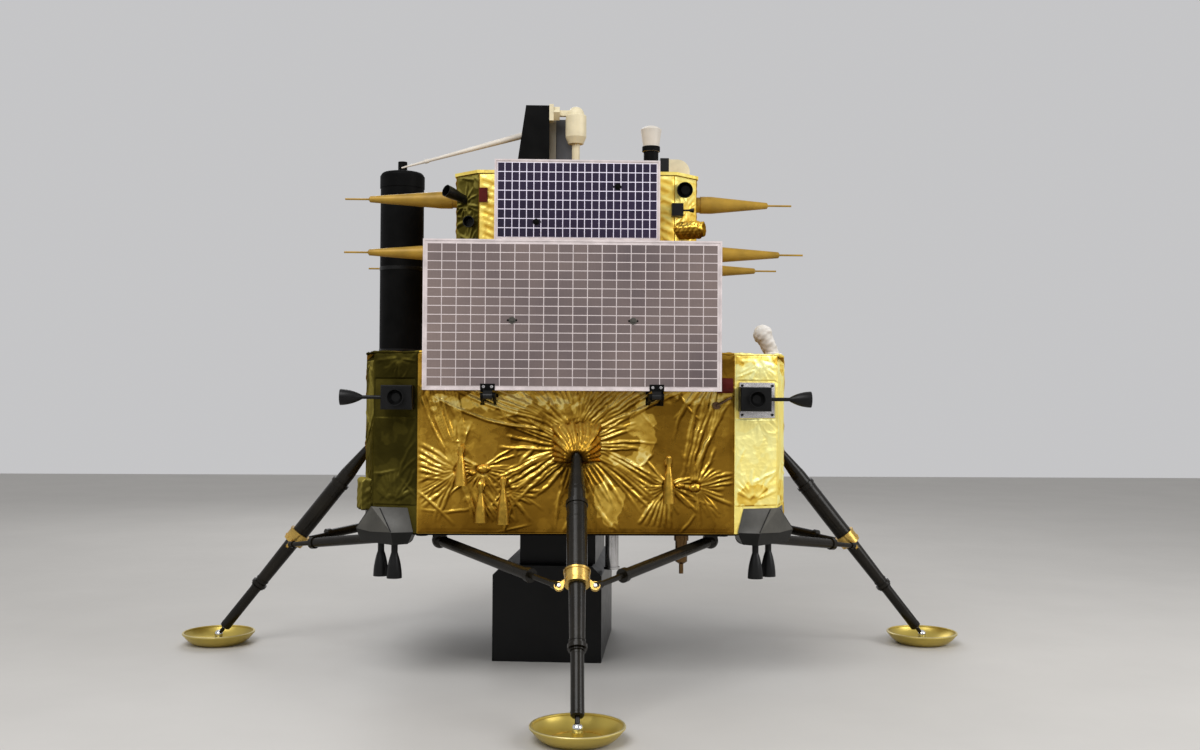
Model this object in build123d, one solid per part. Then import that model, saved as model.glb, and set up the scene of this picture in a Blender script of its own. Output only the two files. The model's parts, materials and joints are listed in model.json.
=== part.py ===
from build123d import *
import math
import os

# Lunar lander with its ascent stage on top: a half-scale exhibition model on its stand.
# Millimetres. Origin on the floor under the centre of the four foot pads.
# +Z is up, the front leg points to -Y and the right leg to +X.

# Lander body: a core with four corner bays, each with two outer facets
BODY_HALF = 636.0
BAY_WIDTH = 175.0           # from the edge of a flat side to the body's outer plane
RIDGE_IN = 42.0             # the bay's outer ridge, in from both outer planes
BAY_TOP_CUT = 20.0          # slope along the top of the bay's sideways facet
BELLY_Z = 442.0
BODY_HEIGHT = 524.0
BELLY_PLATE = 6.0
BELLY_PLATE_IN = 8.0        # its edge, in from the body's
FACE_HALF = BODY_HALF - BAY_WIDTH
RIDGE_HALF = BODY_HALF - RIDGE_IN
DECK_Z = BELLY_Z + BODY_HEIGHT
UNDERSIDE = BELLY_Z - BELLY_PLATE

# Foot pads
FOOT_RADIUS = 1200.0        # pad centre from the lander's axis
PAD_RIM_R = 117.0
PAD_BASE_R = 76.0
PAD_HEIGHT = 36.0
PAD_WALL = 4.0
PAD_LIP_R = 3.5             # rolled rim
PAD_BOW = 5.0               # how far the dish's side bows outwards
BALL_R = 14.0
BALL_Z = 30.0
BALL_CUP_R = 14.5           # cup in the dish that holds the ball
BALL_CUP_TOP = 22.0

# Main struts: radii, and distances along the strut from the ball's centre
LEG_TOP_OUT = 14.0          # where the axis ends, outside the body's flat side
LEG_TOP_Z = 727.0
NECK_R = 6.5
NECK_END = 30.0
PISTON_R = 17.5
PISTON_EDGE = 4.0
STOP_AT = 212.0
STOP_LENGTH = 11.0
STOP_R = 26.0
SLEEVE_LOW_R = 20.5
SLEEVE_TOP_R = 23.5
CLAMP_AT = 418.0
TUBE_R = 28.5
COLLAR_AT = 646.0
COLLAR_LENGTH = 12.0
COLLAR_R = 31.5
SHOULDER_AT = 690.0
SHOULDER_R = 25.0
ROOT_AT = 808.0
ROOT_R = 14.0

# Clamp ring on the main strut with its two lugs
CLAMP_WALL = 6.0
CLAMP_LENGTH = 42.0
CLAMP_LIP = 2.0
CLAMP_LIP_LENGTH = 6.0
LUG_SIDE = 48.0             # lug's eye from the strut's axis
LUG_DROP = 25.0             # and below the clamp's middle
LUG_R = 13.0
LUG_HOLE_R = 6.0
LUG_THICK = 9.0
LUG_ARM_THICK = 7.0

# Secondary struts, from the clamp's lugs to ball joints under the belly
BRACE_SIDE_IN = 56.0        # upper end, in from the edge of the flat side
BRACE_OUT_IN = 116.0        # and in from the body's outer plane
BRACE_DROP = 33.0           # below the belly
FORK_R = 11.0
FORK_LENGTH = 24.0
BRACE_ROD_R = 8.0
BRACE_ROD_LENGTH = 96.0
BRACE_COLLAR_R = 20.0
BRACE_COLLAR_LENGTH = 16.0
BRACE_SLEEVE_R = 16.0
BRACE_JOINT_R = 24.0
BRACE_HANGER = 40.0
BRACE_FLANGE_R = 30.0
BRACE_FLANGE = 6.0

# Wrapped cover round a leg's root
COVER_HALF = 70.0
COVER_TIP_HALF = 34.0
COVER_OUT = 70.0
COVER_LOW = 206.0           # its foot over the belly
COVER_HEIGHT = 120.0
COVER_CHIN = 8.0            # how much higher its outer edge starts
COVER_LIP = 30.0

# Folded brackets under the corner bays. Rows: height over the belly, then
# (along the bay's front facet, out from it) of its two front corners
BRACKET_LEVELS = (
    (73.0, ((29.0, 1.0), (119.0, 2.0))),
    (3.0, ((10.0, 3.0), (64.0, 37.0))),
    (-34.0, ((35.0, -16.0), (63.0, 24.0))),
)

# Bells: length, straight neck, mouth radius and neck radius
BELL_WALL = 2.0
BELL_BOW = 0.24             # how far a flare bows outwards, as a share of its spread
CORNER_BELL = (103.0, 28.0, 22.5, 9.5)
CORNER_BELL_NEAR_IN = 104.0
CORNER_BELL_FAR_IN = 58.0
FACE_BELL_NECK = 26.0
FACE_BELL_R = 17.5
FACE_BELL_NECK_R = 6.0
FACE_BELL_OUT = 24.0        # bell's axis from the flat side
FACE_BELL_FOOT = 16.0       # square foot that carries it
# Rows: x, height of its top and of its mouth over the belly
FACE_BELLS = ((-333.0, 252.0, 140.0), (-275.0, 144.0, 34.0), (-211.0, 159.0, 29.0), (267.0, 222.0, 90.0))

# Thruster units on the corner bays' front facets, and the right bays' backing plates
UNIT_IN = 11.0              # box's near side from the edge of the flat side
UNIT_WIDTH = 90.0
UNIT_HEIGHT = 70.0
UNIT_DROP = 96.0            # its top, below the deck
UNIT_OUT = 46.0             # its front, outside the body's flat side
UNIT_EDGE = 3.0
UNIT_FRONT_BELL = (30.0, 8.0, 24.0, 14.0)
UNIT_SIDE_BELL = (118.0, 55.0, 23.5, 5.5)
PLATE_START = 14.0          # along the facet
PLATE_WIDTH = 114.0
PLATE_HEIGHT = 104.0
PLATE_DROP = 82.0
PLATE_THICK = 4.0

# Large solar panels, front and back, each hinged at its bottom edge
PANEL_WIDTH = 850.0
PANEL_HEIGHT = 429.0
PANEL_THICK = 12.0
PANEL_FRAME = 5.0           # raised border round the cells
PANEL_FRAME_RISE = 1.5
PANEL_SHIFT = -14.0         # the front panel stands a little to the left
PANEL_STANDOFF = 84.0       # hinge axis from the body's flat side
PANEL_HINGE_DROP = 126.0    # and below the deck
PANEL_HINGE_SIDE = 240.0
HOLD_DOWN_R = 9.0
HOLD_DOWN_RISE = 3.0
HOLD_DOWN_SIDE = 172.0
HOLD_DOWN_UP = 215.0        # above the hinge axis

# Small solar panels on the ascent stage, hinged just above the large ones
UPPER_PANEL_WIDTH = 508.0
UPPER_PANEL_HEIGHT = 249.0
UPPER_PANEL_THICK = 10.0
UPPER_STANDOFF = 70.0
UPPER_HINGE_SIDE = 150.0
FOLD_CLEAR = 11.0           # between a small panel folded down and the large one's top edge
# Hold-downs on the small panel. Rows: x, height over the hinge axis
UPPER_HOLD_DOWNS = ((124.0, 183.0), (-126.0, 73.0))

# Panel hinges: a knuckle on the panel between a bracket's two ears
HINGE_LIFT = 16.0           # panel's lower edge above the axis
HINGE_PIN_R = 4.0
HINGE_RUNNING = 0.05        # radial clearance of the pin in its knuckle
KNUCKLE_R = 9.0
KNUCKLE_HALF = 13.0
EAR_GAP = 1.0
EAR = 7.0
HINGE_FOOT_HALF = 26.0
HINGE_FOOT_THICK = 6.0

# Panel drives: a dark red drum by the large panel, a red block by the small one, and a bright rod
MOTOR_R = 22.0
MOTOR_LENGTH = 44.0
MOTOR_IN = 55.0             # drum's inner end, in from the edge of the flat side
MOTOR_OUT = 30.0
MOTOR_DROP = 92.0           # axis below the deck
RED_BLOCK = (26.0, 14.0, 44.0)
RED_BLOCK_DROP = 78.0       # its middle below the ascent stage's top
RED_BLOCK_IN = 1.0          # its outer side, from the chamfer's edge
ROD_R = 4.0
ROD_IN = 57.0               # rod's start, in from the edge of the flat side
ROD_RUN = 43.0
ROD_RISE = 24.0
ROD_DROP = 150.0
ROD_STUD_R = 11.0

# Ascent stage
ASCENT_HALF = 382.0
ASCENT_CHAMFER = 76.0
ADAPTER_HEIGHT = 124.0
ASCENT_HEIGHT = 454.0
TOP_RIM_OUT = 4.0           # thin rim round the top
TOP_RIM = 8.0
POST_IN = 97.0              # adapter post's axis, in from the stage's side
POST_LOW = 52.0
POST_TOP = 34.0
ENGINE_MOUTH_R = 92.0
ENGINE_THROAT_R = 40.0
ENGINE_NECK = 22.0
ENGINE_WALL = 5.0
ENGINE_CLEAR = 16.0         # bell's mouth above the deck
ASCENT_LOW = DECK_Z + ADAPTER_HEIGHT
ASCENT_TOP = ASCENT_LOW + ASCENT_HEIGHT

# Tapered booms on the ascent stage's sides
BOOM_FOOT_R = 25.0
BOOM_FOOT = 18.0
BOOM_ROOT_R = 27.5
BOOM_ROOT = 36.0
BOOM_END_R = 10.0
BOOM_SHOULDER = 5.0
BOOM_TIP_R = 3.0
BOOM_TIP = 80.0
# Rows: side, y, height over the ascent stage's foot, length of the cone
BOOMS = (
    (-1, -250.0, 381.0, 282.0),
    (1, -250.0, 373.0, 235.0),
    (-1, -250.0, 210.0, 284.0),
    (1, -250.0, 213.0, 273.0),
    (-1, 250.0, 210.0, 284.0),
    (1, 250.0, 213.0, 273.0),
)

# Black bells, small box and gold drum on the ascent stage's front chamfers.
# Rows: side, forward along the chamfer, height, direction, bell
CHAMFER_BELLS = (
    (-1, -6.0, 366.0, (-0.70, -0.66, 0.26), (84.0, 30.0, 19.0, 14.0)),
    (-1, 18.0, 292.0, (-0.15, -0.98, 0.0), (42.0, 12.0, 18.0, 15.0)),
    (1, -2.0, 406.0, (-0.16, -0.97, -0.16), (60.0, 24.0, 25.0, 16.0)),
)
SMALL_BOX = (36.0, 34.0, 40.0)
SMALL_BOX_FORWARD = 44.0
SMALL_BOX_HEIGHT = 334.0
SMALL_BOX_BELL = (34.0, 18.0, 7.0, 3.0)
SMALL_BELL_WALL = 1.0
DRUM_FORWARD = 26.0
DRUM_HEIGHT = 274.0
DRUM_DIRECTION = (0.94, -0.34, 0.02)
DRUM_R = 27.0
DRUM_LENGTH = 62.0
DRUM_RIM_R = 23.0
DRUM_RIM = 14.0

# Instruments on the ascent stage's top; heights are over that top
TOP_BOX_LEFT = -205.0
TOP_BOX_RIGHT = -91.0
TOP_BOX_LEAN = 37.0         # how far the left side leans in at the top
TOP_BOX_HEIGHT = 256.0
TOP_BOX_FRONT = -175.0
TOP_BOX_BACK = -30.0
SLATE_WIDTH = 80.0
SLATE_HEIGHT = 224.0
SLATE_FRONT = -108.0
RAIL_WIDTH = 22.0
RAIL_DEPTH = 14.0
RAIL_HEIGHT = 214.0
MAST_X = -3.0
MAST_Y = -158.0
MAST_FOOT_R = 20.0
MAST_FOOT = 10.0
MAST_POST_R = 13.0
MAST_CONE_R = 25.0
MAST_CONE = 22.0
MAST_DRUM_R = 34.5
MAST_DRUM_LOW = 132.0
MAST_DRUM_TOP = 228.0
MAST_DRUM_ROUND = 5.0
KNOB_R = 27.0
KNOB_HEIGHT = 28.0
ARM_BRACKET = (14.0, 40.0, 54.0)
ARM_NUT = (20.0, 32.0)      # length and width of the diamond nut
ARM_THICK = 18.0
ARM_DROP = 23.0             # arm's middle below the black box's top
ANTENNA_IN = 135.0          # in from the stage's right side
ANTENNA_Y = -150.0
ANTENNA_POST_R = 24.0
ANTENNA_POST = 112.0
ANTENNA_RING_R = 29.0
ANTENNA_RING = 14.0
ANTENNA_HORN_R = 26.0
ANTENNA_HORN = 58.0
ANTENNA_MOUTH_R = 35.0
ANTENNA_DOME = 14.0
SAMPLE_Y = -120.0
SAMPLE_HEIGHT = 170.0
SAMPLE_REACH = (-410.0, -30.0, -122.0)
SAMPLE_ROOT_R = 11.0
SAMPLE_KNUCKLE_AT = 336.0
SAMPLE_KNUCKLE_R = 7.0
SAMPLE_KNUCKLE = 14.0
SAMPLE_TIP_ROOT_R = 5.0
SAMPLE_TIP_R = 2.5
FIN_IN_X = 89.0             # fin's near side and front, in from the stage's sides
FIN_IN_Y = 77.0
FIN_WIDTH = 66.0
FIN_HEIGHT = 54.0
FIN_ROUND = 40.0
FIN_THICK = 12.0
FIN_BLOCK = (28.0, 27.0, 58.0)

# Pieces on the deck
DRILL_IN = 42.0             # drum's axis, in from the body's outer plane
DRILL_R = 73.5
DRILL_HEIGHT = 636.0
DRILL_ROUND = 14.0
DRILL_ROUND_BOW = 4.0
DRILL_BAND = 40.0
DRILL_BAND_RISE = 2.0
DRILL_KNOB_R = 15.5
DRILL_KNOB = 38.0
ARM_FOOT_IN_X = 40.0        # arm's foot, in from the body's outer planes
ARM_FOOT_IN_Y = 131.0
ARM_FOOT_R = 26.0
ARM_FOOT = 8.0
ARM_NECK_R = 19.0
ARM_NECK_TOP_R = 25.0
ARM_HEAD_R = 28.0
ARM_LEAN = 32.0
ARM_RISE = 66.0

# Small wrapped box on the left bay's outer facet
SIDE_BOX_START = 18.0       # from the ridge
SIDE_BOX_WIDTH = 92.0
SIDE_BOX_OUT = 30.0
SIDE_BOX_ROUND = 9.0
SIDE_BOX_LOW = 62.0         # over the belly
SIDE_BOX_HEIGHT = 90.0

# Stand under the belly, turned a little from the lander's axes
STAND_WIDTH = 347.0
STAND_DEPTH = 580.0
STAND_HEIGHT = 304.0
STAND_CHAMFER = 31.0
STAND_NECK_WIDTH = 243.0
STAND_NECK_DEPTH = 470.0
STAND_TURN = -5.5
STAND_X = -60.0
STAND_Y = -18.0
STAND_NECK_X = -32.0

# Fittings under the belly
PIPE_X = 122.0
PIPE_Y = -200.0
PIPE_R = 22.0
PIPE_WALL = 4.0
PIPE_LENGTH = 156.0
PIPE_LIP_R = 26.0
PIPE_LIP = 8.0
PROBE_X = 336.0
PROBE_Y = -330.0
PROBE_BASE_R = 23.0
PROBE_BASE = 48.0
PROBE_R = 19.0
PROBE_LENGTH = 66.0
PROBE_CONE = 8.0
PROBE_TIP_R = 7.0
PROBE_TIP = 30.0

# Places that several pieces share
LEG_TOP_RADIUS = BODY_HALF + LEG_TOP_OUT
BRACE_SIDE = FACE_HALF - BRACE_SIDE_IN
BRACE_RADIUS = BODY_HALF - BRACE_OUT_IN
PANEL_OUT = BODY_HALF + PANEL_STANDOFF
PANEL_HINGE_Z = DECK_Z - PANEL_HINGE_DROP
PANEL_TOP = PANEL_HINGE_Z + HINGE_LIFT + PANEL_HEIGHT
UPPER_PANEL_OUT = ASCENT_HALF + UPPER_STANDOFF
UPPER_HINGE_Z = PANEL_TOP + FOLD_CLEAR + UPPER_PANEL_THICK / 2

# Quarter turns of the four sides, and signs of the four corners
SIDES = (("front", 0), ("right", 90), ("back", 180), ("left", 270))
CORNERS = (("front_right", 1, -1), ("back_right", 1, 1), ("back_left", -1, 1), ("front_left", -1, -1))

os.makedirs("parts", exist_ok=True)


# Shared shapes

def bowed(start, end, bow):
    """Arc from start to end in the profile's plane, bowed to the right of its direction."""
    chord = math.dist(start, end)
    across = (end[1] - start[1]) / chord * bow
    down = (start[0] - end[0]) / chord * bow
    middle = ((start[0] + end[0]) / 2 + across, (start[1] + end[1]) / 2 + down)
    return ThreePointArc(start, middle, end)


def domed(radius, low, height):
    """Arc of a round cap in the profile's plane, from its edge up to its top on the axis."""
    ball_r = (radius ** 2 + height ** 2) / (2 * height)
    half = math.atan2(radius, ball_r - height) / 2
    top = low + height
    middle = (ball_r * math.sin(half), top - ball_r * (1 - math.cos(half)))
    return ThreePointArc((radius, low), middle, (0, top))


def spun(*edges):
    """Solid of revolution about Z from the closed outline that these edges make."""
    return revolve(Plane.XZ * make_face(list(edges)), Axis.Z)


def turned(profile):
    """Solid of revolution about Z from (radius, height) corners, closed along the axis."""
    corners = [(0, profile[0][1])] + list(profile) + [(0, profile[-1][1])]
    return spun(Polyline(*corners, close=True))


def along(start, direction, solid):
    """Stand a solid made on +Z at start, pointing in the direction."""
    return Plane(origin=Vector(*start), z_dir=Vector(*direction)) * solid


def between(start, end, solid):
    """Stand a solid made on +Z at start, pointing to end."""
    return along(start, [high - low for low, high in zip(start, end)], solid)


def slab(x_range, y_range, z_range):
    """Box between two values on each axis."""
    size = [high - low for low, high in (x_range, y_range, z_range)]
    middle = [(high + low) / 2 for low, high in (x_range, y_range, z_range)]
    return Pos(*middle) * Box(*size)


def span(middle, width):
    """Range of a width about its middle."""
    return (middle - width / 2, middle + width / 2)


def prism(points, low, high):
    """Upright prism on a plan of (x, y) corners."""
    plan = make_face(Polyline(*points, close=True))
    return Pos(0, 0, low) * extrude(plan, high - low)


def bar(points, x_low, x_high):
    """Prism along X on a profile of (y, z) corners."""
    profile = Plane.YZ * make_face(Polyline(*points, close=True))
    return Pos(x_low, 0, 0) * extrude(profile, x_high - x_low)


def bell(length, neck, mouth_r, neck_r, wall=BELL_WALL):
    """Thruster bell from the origin along +Z: a straight neck, then a bowed flare, hollow at its mouth."""
    bow = (mouth_r - neck_r) * BELL_BOW
    stem = Polyline((0, neck + wall), (0, 0), (neck_r, 0), (neck_r, neck))
    outer = bowed((neck_r, neck), (mouth_r, length), bow)
    lip = Line((mouth_r, length), (mouth_r - wall, length))
    inner = bowed((mouth_r - wall, length), (neck_r - wall, neck + wall), -bow)
    floor = Line((neck_r - wall, neck + wall), (0, neck + wall))
    return spun(stem, outer, lip, inner, floor)


def to_corner(shape, x_sign, y_sign):
    """Carry a shape made at the front right corner to the corner with these signs."""
    if x_sign < 0:
        shape = mirror(shape, about=Plane.YZ)
    if y_sign > 0:
        shape = mirror(shape, about=Plane.XZ)
    return shape


def four_sides(pieces):
    """Turn the front side's pieces to all four sides."""
    return [piece.rotate(Axis.Z, quarter) for _, quarter in SIDES for piece in pieces]


def four_corners(pieces):
    """Mirror the front right corner's pieces to all four corners."""
    return [to_corner(piece, x_sign, y_sign) for _, x_sign, y_sign in CORNERS for piece in pieces]


def front_and_back(pieces):
    """The front side's pieces, and the same turned to the back."""
    return pieces + [piece.rotate(Axis.Z, 180) for piece in pieces]


def keep(name, shape):
    """Write one node; several loose solids become one compound."""
    solids = shape if isinstance(shape, list) else shape.solids()
    export_step(solids[0] if len(solids) == 1 else Compound(list(solids)), f"parts/{name}.step")


# Landing gear: every piece is made for the front leg and turned to the others

def strut_length():
    return math.dist((LEG_TOP_RADIUS, LEG_TOP_Z), (FOOT_RADIUS, BALL_Z))


def strut_point(distance, side=0.0, drop=0.0):
    """Point by the front strut: along it from the ball, sideways, and square to it on its lower side."""
    run = (FOOT_RADIUS - LEG_TOP_RADIUS) / strut_length()
    rise = (LEG_TOP_Z - BALL_Z) / strut_length()
    return (side, -FOOT_RADIUS + run * distance + rise * drop, BALL_Z + rise * distance - run * drop)


def on_strut(solid):
    return between(strut_point(0), strut_point(strut_length()), solid)


def foot_ball():
    return Pos(*strut_point(0)) * Sphere(BALL_R)


def foot_pad():
    """Spun dish with a rolled rim and a cup for the ball."""
    inner_rim_r = PAD_RIM_R - PAD_WALL
    floor = Polyline((PAD_BASE_R, PAD_WALL), (BALL_CUP_R, PAD_WALL), (BALL_CUP_R, BALL_CUP_TOP),
                     (0, BALL_CUP_TOP), (0, 0), (PAD_BASE_R, 0))
    outside = bowed((PAD_BASE_R, 0), (PAD_RIM_R, PAD_HEIGHT), PAD_BOW)
    rim = Line((PAD_RIM_R, PAD_HEIGHT), (inner_rim_r, PAD_HEIGHT))
    inside = bowed((inner_rim_r, PAD_HEIGHT), (PAD_BASE_R, PAD_WALL), -PAD_BOW)
    lip = Pos(0, 0, PAD_HEIGHT) * Torus(PAD_RIM_R - PAD_WALL / 2, PAD_LIP_R)
    return Pos(0, -FOOT_RADIUS, 0) * (spun(floor, outside, rim, inside) + lip) - foot_ball()


def main_strut():
    """Telescopic leg: neck, lower tube, stop ring, sleeve, outer tube, collar and slender root."""
    stop_end = STOP_AT + STOP_LENGTH
    collar_end = COLLAR_AT + COLLAR_LENGTH
    profile = [
        (NECK_R, 0), (NECK_R, NECK_END), (PISTON_R - PISTON_EDGE, NECK_END),
        (PISTON_R, NECK_END + PISTON_EDGE), (PISTON_R, STOP_AT), (STOP_R, STOP_AT), (STOP_R, stop_end),
        (SLEEVE_LOW_R, stop_end), (SLEEVE_TOP_R, CLAMP_AT), (TUBE_R, CLAMP_AT), (TUBE_R, COLLAR_AT),
        (COLLAR_R, COLLAR_AT), (COLLAR_R, collar_end), (SHOULDER_R, collar_end),
        (SHOULDER_R, SHOULDER_AT), (ROOT_R, ROOT_AT), (ROOT_R, strut_length()),
    ]
    return on_strut(turned(profile)) - foot_ball()


def clamp_ring():
    """Band round the step of the strut, with a lipped upper edge and a lug on each side."""
    low = CLAMP_AT - CLAMP_LENGTH / 2
    high = CLAMP_AT + CLAMP_LENGTH / 2
    lip_low = high - CLAMP_LIP_LENGTH
    band_r = TUBE_R + CLAMP_WALL
    lip_r = band_r + CLAMP_LIP
    ring = on_strut(turned([(band_r, low), (band_r, lip_low), (lip_r, lip_low), (lip_r, high)]))
    square = Vector(*strut_point(0, 0, 1)) - Vector(*strut_point(0))
    for side in (-1, 1):
        eye = Vector(*strut_point(CLAMP_AT - LUG_DROP, side * LUG_SIDE))
        root = Vector(*strut_point(CLAMP_AT, side * band_r / 2))
        reach = root - eye
        frame = Plane(origin=eye + reach / 2, x_dir=reach, z_dir=square)
        arm = frame * Box(reach.length, LUG_R, LUG_ARM_THICK)
        disc = along(eye, square, Cylinder(LUG_R, LUG_THICK))
        hole = along(eye, square, Cylinder(LUG_HOLE_R, LUG_THICK * 2))
        ring = ring + arm + disc - hole
    return ring - STRUT


def brace_ends(side):
    """Lug's eye and belly joint of one secondary strut of the front leg."""
    eye = strut_point(CLAMP_AT - LUG_DROP, side * LUG_SIDE)
    return eye, (side * BRACE_SIDE, -BRACE_RADIUS, BELLY_Z - BRACE_DROP)


def brace(side):
    """Secondary strut: a fork and pin at the lug, a rod, a collar and a thick sleeve up to the ball joint."""
    eye, joint = brace_ends(side)
    rod_end = FORK_LENGTH + BRACE_ROD_LENGTH
    collar_end = rod_end + BRACE_COLLAR_LENGTH
    profile = [
        (FORK_R, 0), (FORK_R, FORK_LENGTH), (BRACE_ROD_R, FORK_LENGTH), (BRACE_ROD_R, rod_end),
        (BRACE_COLLAR_R, rod_end), (BRACE_COLLAR_R, collar_end), (BRACE_SLEEVE_R, collar_end),
        (BRACE_SLEEVE_R, math.dist(eye, joint)),
    ]
    return between(eye, joint, turned(profile)) - CLAMP - brace_joint(side)


def brace_joint(side):
    """Ball housing under the belly with its hanger and round flange."""
    _, (x, y, z) = brace_ends(side)
    hanger = slab(span(x, BRACE_HANGER), span(y, BRACE_HANGER), (z, UNDERSIDE))
    flange = Pos(x, y, UNDERSIDE - BRACE_FLANGE / 2) * Cylinder(BRACE_FLANGE_R, BRACE_FLANGE)
    return Pos(x, y, z) * Sphere(BRACE_JOINT_R) + hanger + flange


def root_cover():
    """Foil-wrapped wedge over the place where a leg enters the body."""
    face_y = -BODY_HALF
    tip_y = face_y - COVER_OUT
    low = BELLY_Z + COVER_LOW
    high = low + COVER_HEIGHT
    chin = low + COVER_CHIN
    side_view = [(face_y, low), (tip_y, chin), (tip_y, chin + COVER_LIP), (face_y, high)]
    plan = [(-COVER_HALF, face_y), (-COVER_TIP_HALF, tip_y), (COVER_TIP_HALF, tip_y), (COVER_HALF, face_y)]
    return (bar(side_view, -COVER_HALF, COVER_HALF) & prism(plan, low, high)) - STRUT


# Lander body

def body_core():
    """Cross-shaped block between the bays."""
    wide = slab((-BODY_HALF, BODY_HALF), (-FACE_HALF, FACE_HALF), (BELLY_Z, DECK_Z))
    deep = slab((-FACE_HALF, FACE_HALF), (-BODY_HALF, BODY_HALF), (BELLY_Z, DECK_Z))
    return wide + deep


def corner_bay():
    """Front right corner bay; the top of its sideways facet slopes down."""
    plan = [(FACE_HALF, -FACE_HALF), (FACE_HALF, -BODY_HALF), (RIDGE_HALF, -RIDGE_HALF),
            (BODY_HALF, -FACE_HALF)]
    bay = prism(plan, BELLY_Z, DECK_Z)
    return chamfer(bay.edges().group_by(Axis.Z)[-1].sort_by(Axis.X)[-1], BAY_TOP_CUT)


def belly_plate():
    half = BODY_HALF - BELLY_PLATE_IN
    plate = Pos(0, 0, UNDERSIDE) * extrude(Rectangle(half * 2, half * 2), BELLY_PLATE)
    return chamfer(plate.edges().filter_by(Axis.Z), BAY_WIDTH - BELLY_PLATE_IN)


def facet_length():
    return math.hypot(BAY_WIDTH - RIDGE_IN, RIDGE_IN)


def facet_point(start, out):
    """Plan point on the front right bay's front facet: along it from the flat side, and out from it."""
    run = (BAY_WIDTH - RIDGE_IN) / facet_length()
    fall = RIDGE_IN / facet_length()
    return (FACE_HALF + run * start + fall * out, -BODY_HALF + fall * start - run * out)


def corner_bracket():
    """Folded wedge under a corner bay; its two halves meet on the corner's diagonal."""
    sections = []
    for height, corners in BRACKET_LEVELS:
        front = [facet_point(*corner) for corner in corners]
        mirrored = [(-y, -x) for x, y in front[::-1]]
        inner = front[0][0]
        outline = Polyline(*front, *mirrored, (inner, -inner), close=True)
        sections.append(Pos(0, 0, BELLY_Z + height) * make_face(outline))
    wedge = loft(sections[:2], ruled=True) + loft(sections[1:], ruled=True)
    return wedge - corner_bay() - belly_plate() - body_core()


def corner_bells():
    """Two black bells hanging from a corner bracket."""
    near = BODY_HALF - CORNER_BELL_NEAR_IN
    far = BODY_HALF - CORNER_BELL_FAR_IN
    top = BELLY_Z + BRACKET_LEVELS[-1][0]
    return [along((x, -y, top), (0, 0, -1), bell(*CORNER_BELL)) for x, y in ((near, far), (far, near))]


def face_bells():
    """Down-pointing gold bells on the front side, each on a small square foot."""
    bells = []
    axis_y = -BODY_HALF - FACE_BELL_OUT
    for x, top, mouth in FACE_BELLS:
        high = BELLY_Z + top
        shape = bell(top - mouth, FACE_BELL_NECK, FACE_BELL_R, FACE_BELL_NECK_R)
        foot = slab(span(x, FACE_BELL_FOOT), (axis_y, -BODY_HALF), (high - FACE_BELL_FOOT, high))
        bells.append(along((x, axis_y, high), (0, 0, -1), shape) + foot)
    return bells


def thruster_box():
    """Black box on a bay's front facet with its front edges bevelled."""
    x_near = FACE_HALF + UNIT_IN
    z_top = DECK_Z - UNIT_DROP
    box = slab((x_near, x_near + UNIT_WIDTH), (-BODY_HALF - UNIT_OUT, -FACE_HALF),
               (z_top - UNIT_HEIGHT, z_top))
    return chamfer(box.faces().sort_by(Axis.Y)[0].edges(), UNIT_EDGE) - corner_bay()


def thruster_unit():
    """The box, with one bell forwards and one sideways."""
    x_near = FACE_HALF + UNIT_IN
    middle_z = DECK_Z - UNIT_DROP - UNIT_HEIGHT / 2
    front_y = -BODY_HALF - UNIT_OUT
    forward = along((x_near + UNIT_WIDTH / 2, front_y, middle_z), (0, -1, 0), bell(*UNIT_FRONT_BELL))
    side_start = (x_near + UNIT_WIDTH, front_y + UNIT_OUT / 2, middle_z)
    sideways = along(side_start, (1, 0, 0), bell(*UNIT_SIDE_BELL))
    return [thruster_box(), forward, sideways]


def backing_plate():
    """Bright plate on the right bay's front facet, cut out round the thruster unit."""
    z_top = DECK_Z - PLATE_DROP
    end = PLATE_START + PLATE_WIDTH
    plan = [facet_point(PLATE_START, 0), facet_point(PLATE_START, PLATE_THICK), facet_point(end, PLATE_THICK),
            facet_point(end, 0)]
    return prism(plan, z_top - PLATE_HEIGHT, z_top) - thruster_box()


def side_box():
    """Small wrapped box on the left bay's outer facet, over the bracket, its outer top edge rounded."""
    near = facet_length() - SIDE_BOX_START
    far = near - SIDE_BOX_WIDTH
    corners = (facet_point(near, 0), facet_point(near, SIDE_BOX_OUT), facet_point(far, SIDE_BOX_OUT),
               facet_point(far, 0))
    low = BELLY_Z + SIDE_BOX_LOW
    box = prism([(y, -x) for x, y in corners], low, low + SIDE_BOX_HEIGHT)
    long_edges = box.edges().group_by(Axis.Z)[-1].sort_by(SortBy.LENGTH)[-2:]
    return fillet(long_edges.sort_by(Axis.X)[0], SIDE_BOX_ROUND) - to_corner(corner_bracket(), -1, -1)


# Solar panels

def crosswise(x, y, z, solid):
    """Lay a solid made on +Z along X, centred at a point."""
    return Pos(x, y, z) * Rot(0, 90, 0) * solid


def hinged_panel(width, height, thick, out, hinge_z, hinge_side, shift):
    """Framed panel standing on its hinge axis, with two knuckles below its lower edge."""
    low = hinge_z + HINGE_LIFT
    front, back = -out - thick / 2, -out + thick / 2
    x_range = span(shift, width)
    z_range = (low, low + height)
    frame = slab(x_range, (front - PANEL_FRAME_RISE, front), z_range)
    frame -= slab(span(shift, width - PANEL_FRAME * 2), (front - PANEL_FRAME_RISE, front),
                  (low + PANEL_FRAME, low + height - PANEL_FRAME))
    panel = slab(x_range, (front, back), z_range) + frame
    for x in (shift - hinge_side, shift + hinge_side):
        barrel = crosswise(x, -out, hinge_z, Cylinder(KNUCKLE_R, KNUCKLE_HALF * 2))
        web = slab(span(x, KNUCKLE_HALF * 2), (front, back), (hinge_z, low))
        bore = crosswise(x, -out, hinge_z, Cylinder(HINGE_PIN_R + HINGE_RUNNING, KNUCKLE_HALF * 4))
        panel = panel + barrel + web - bore
    return panel


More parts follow.
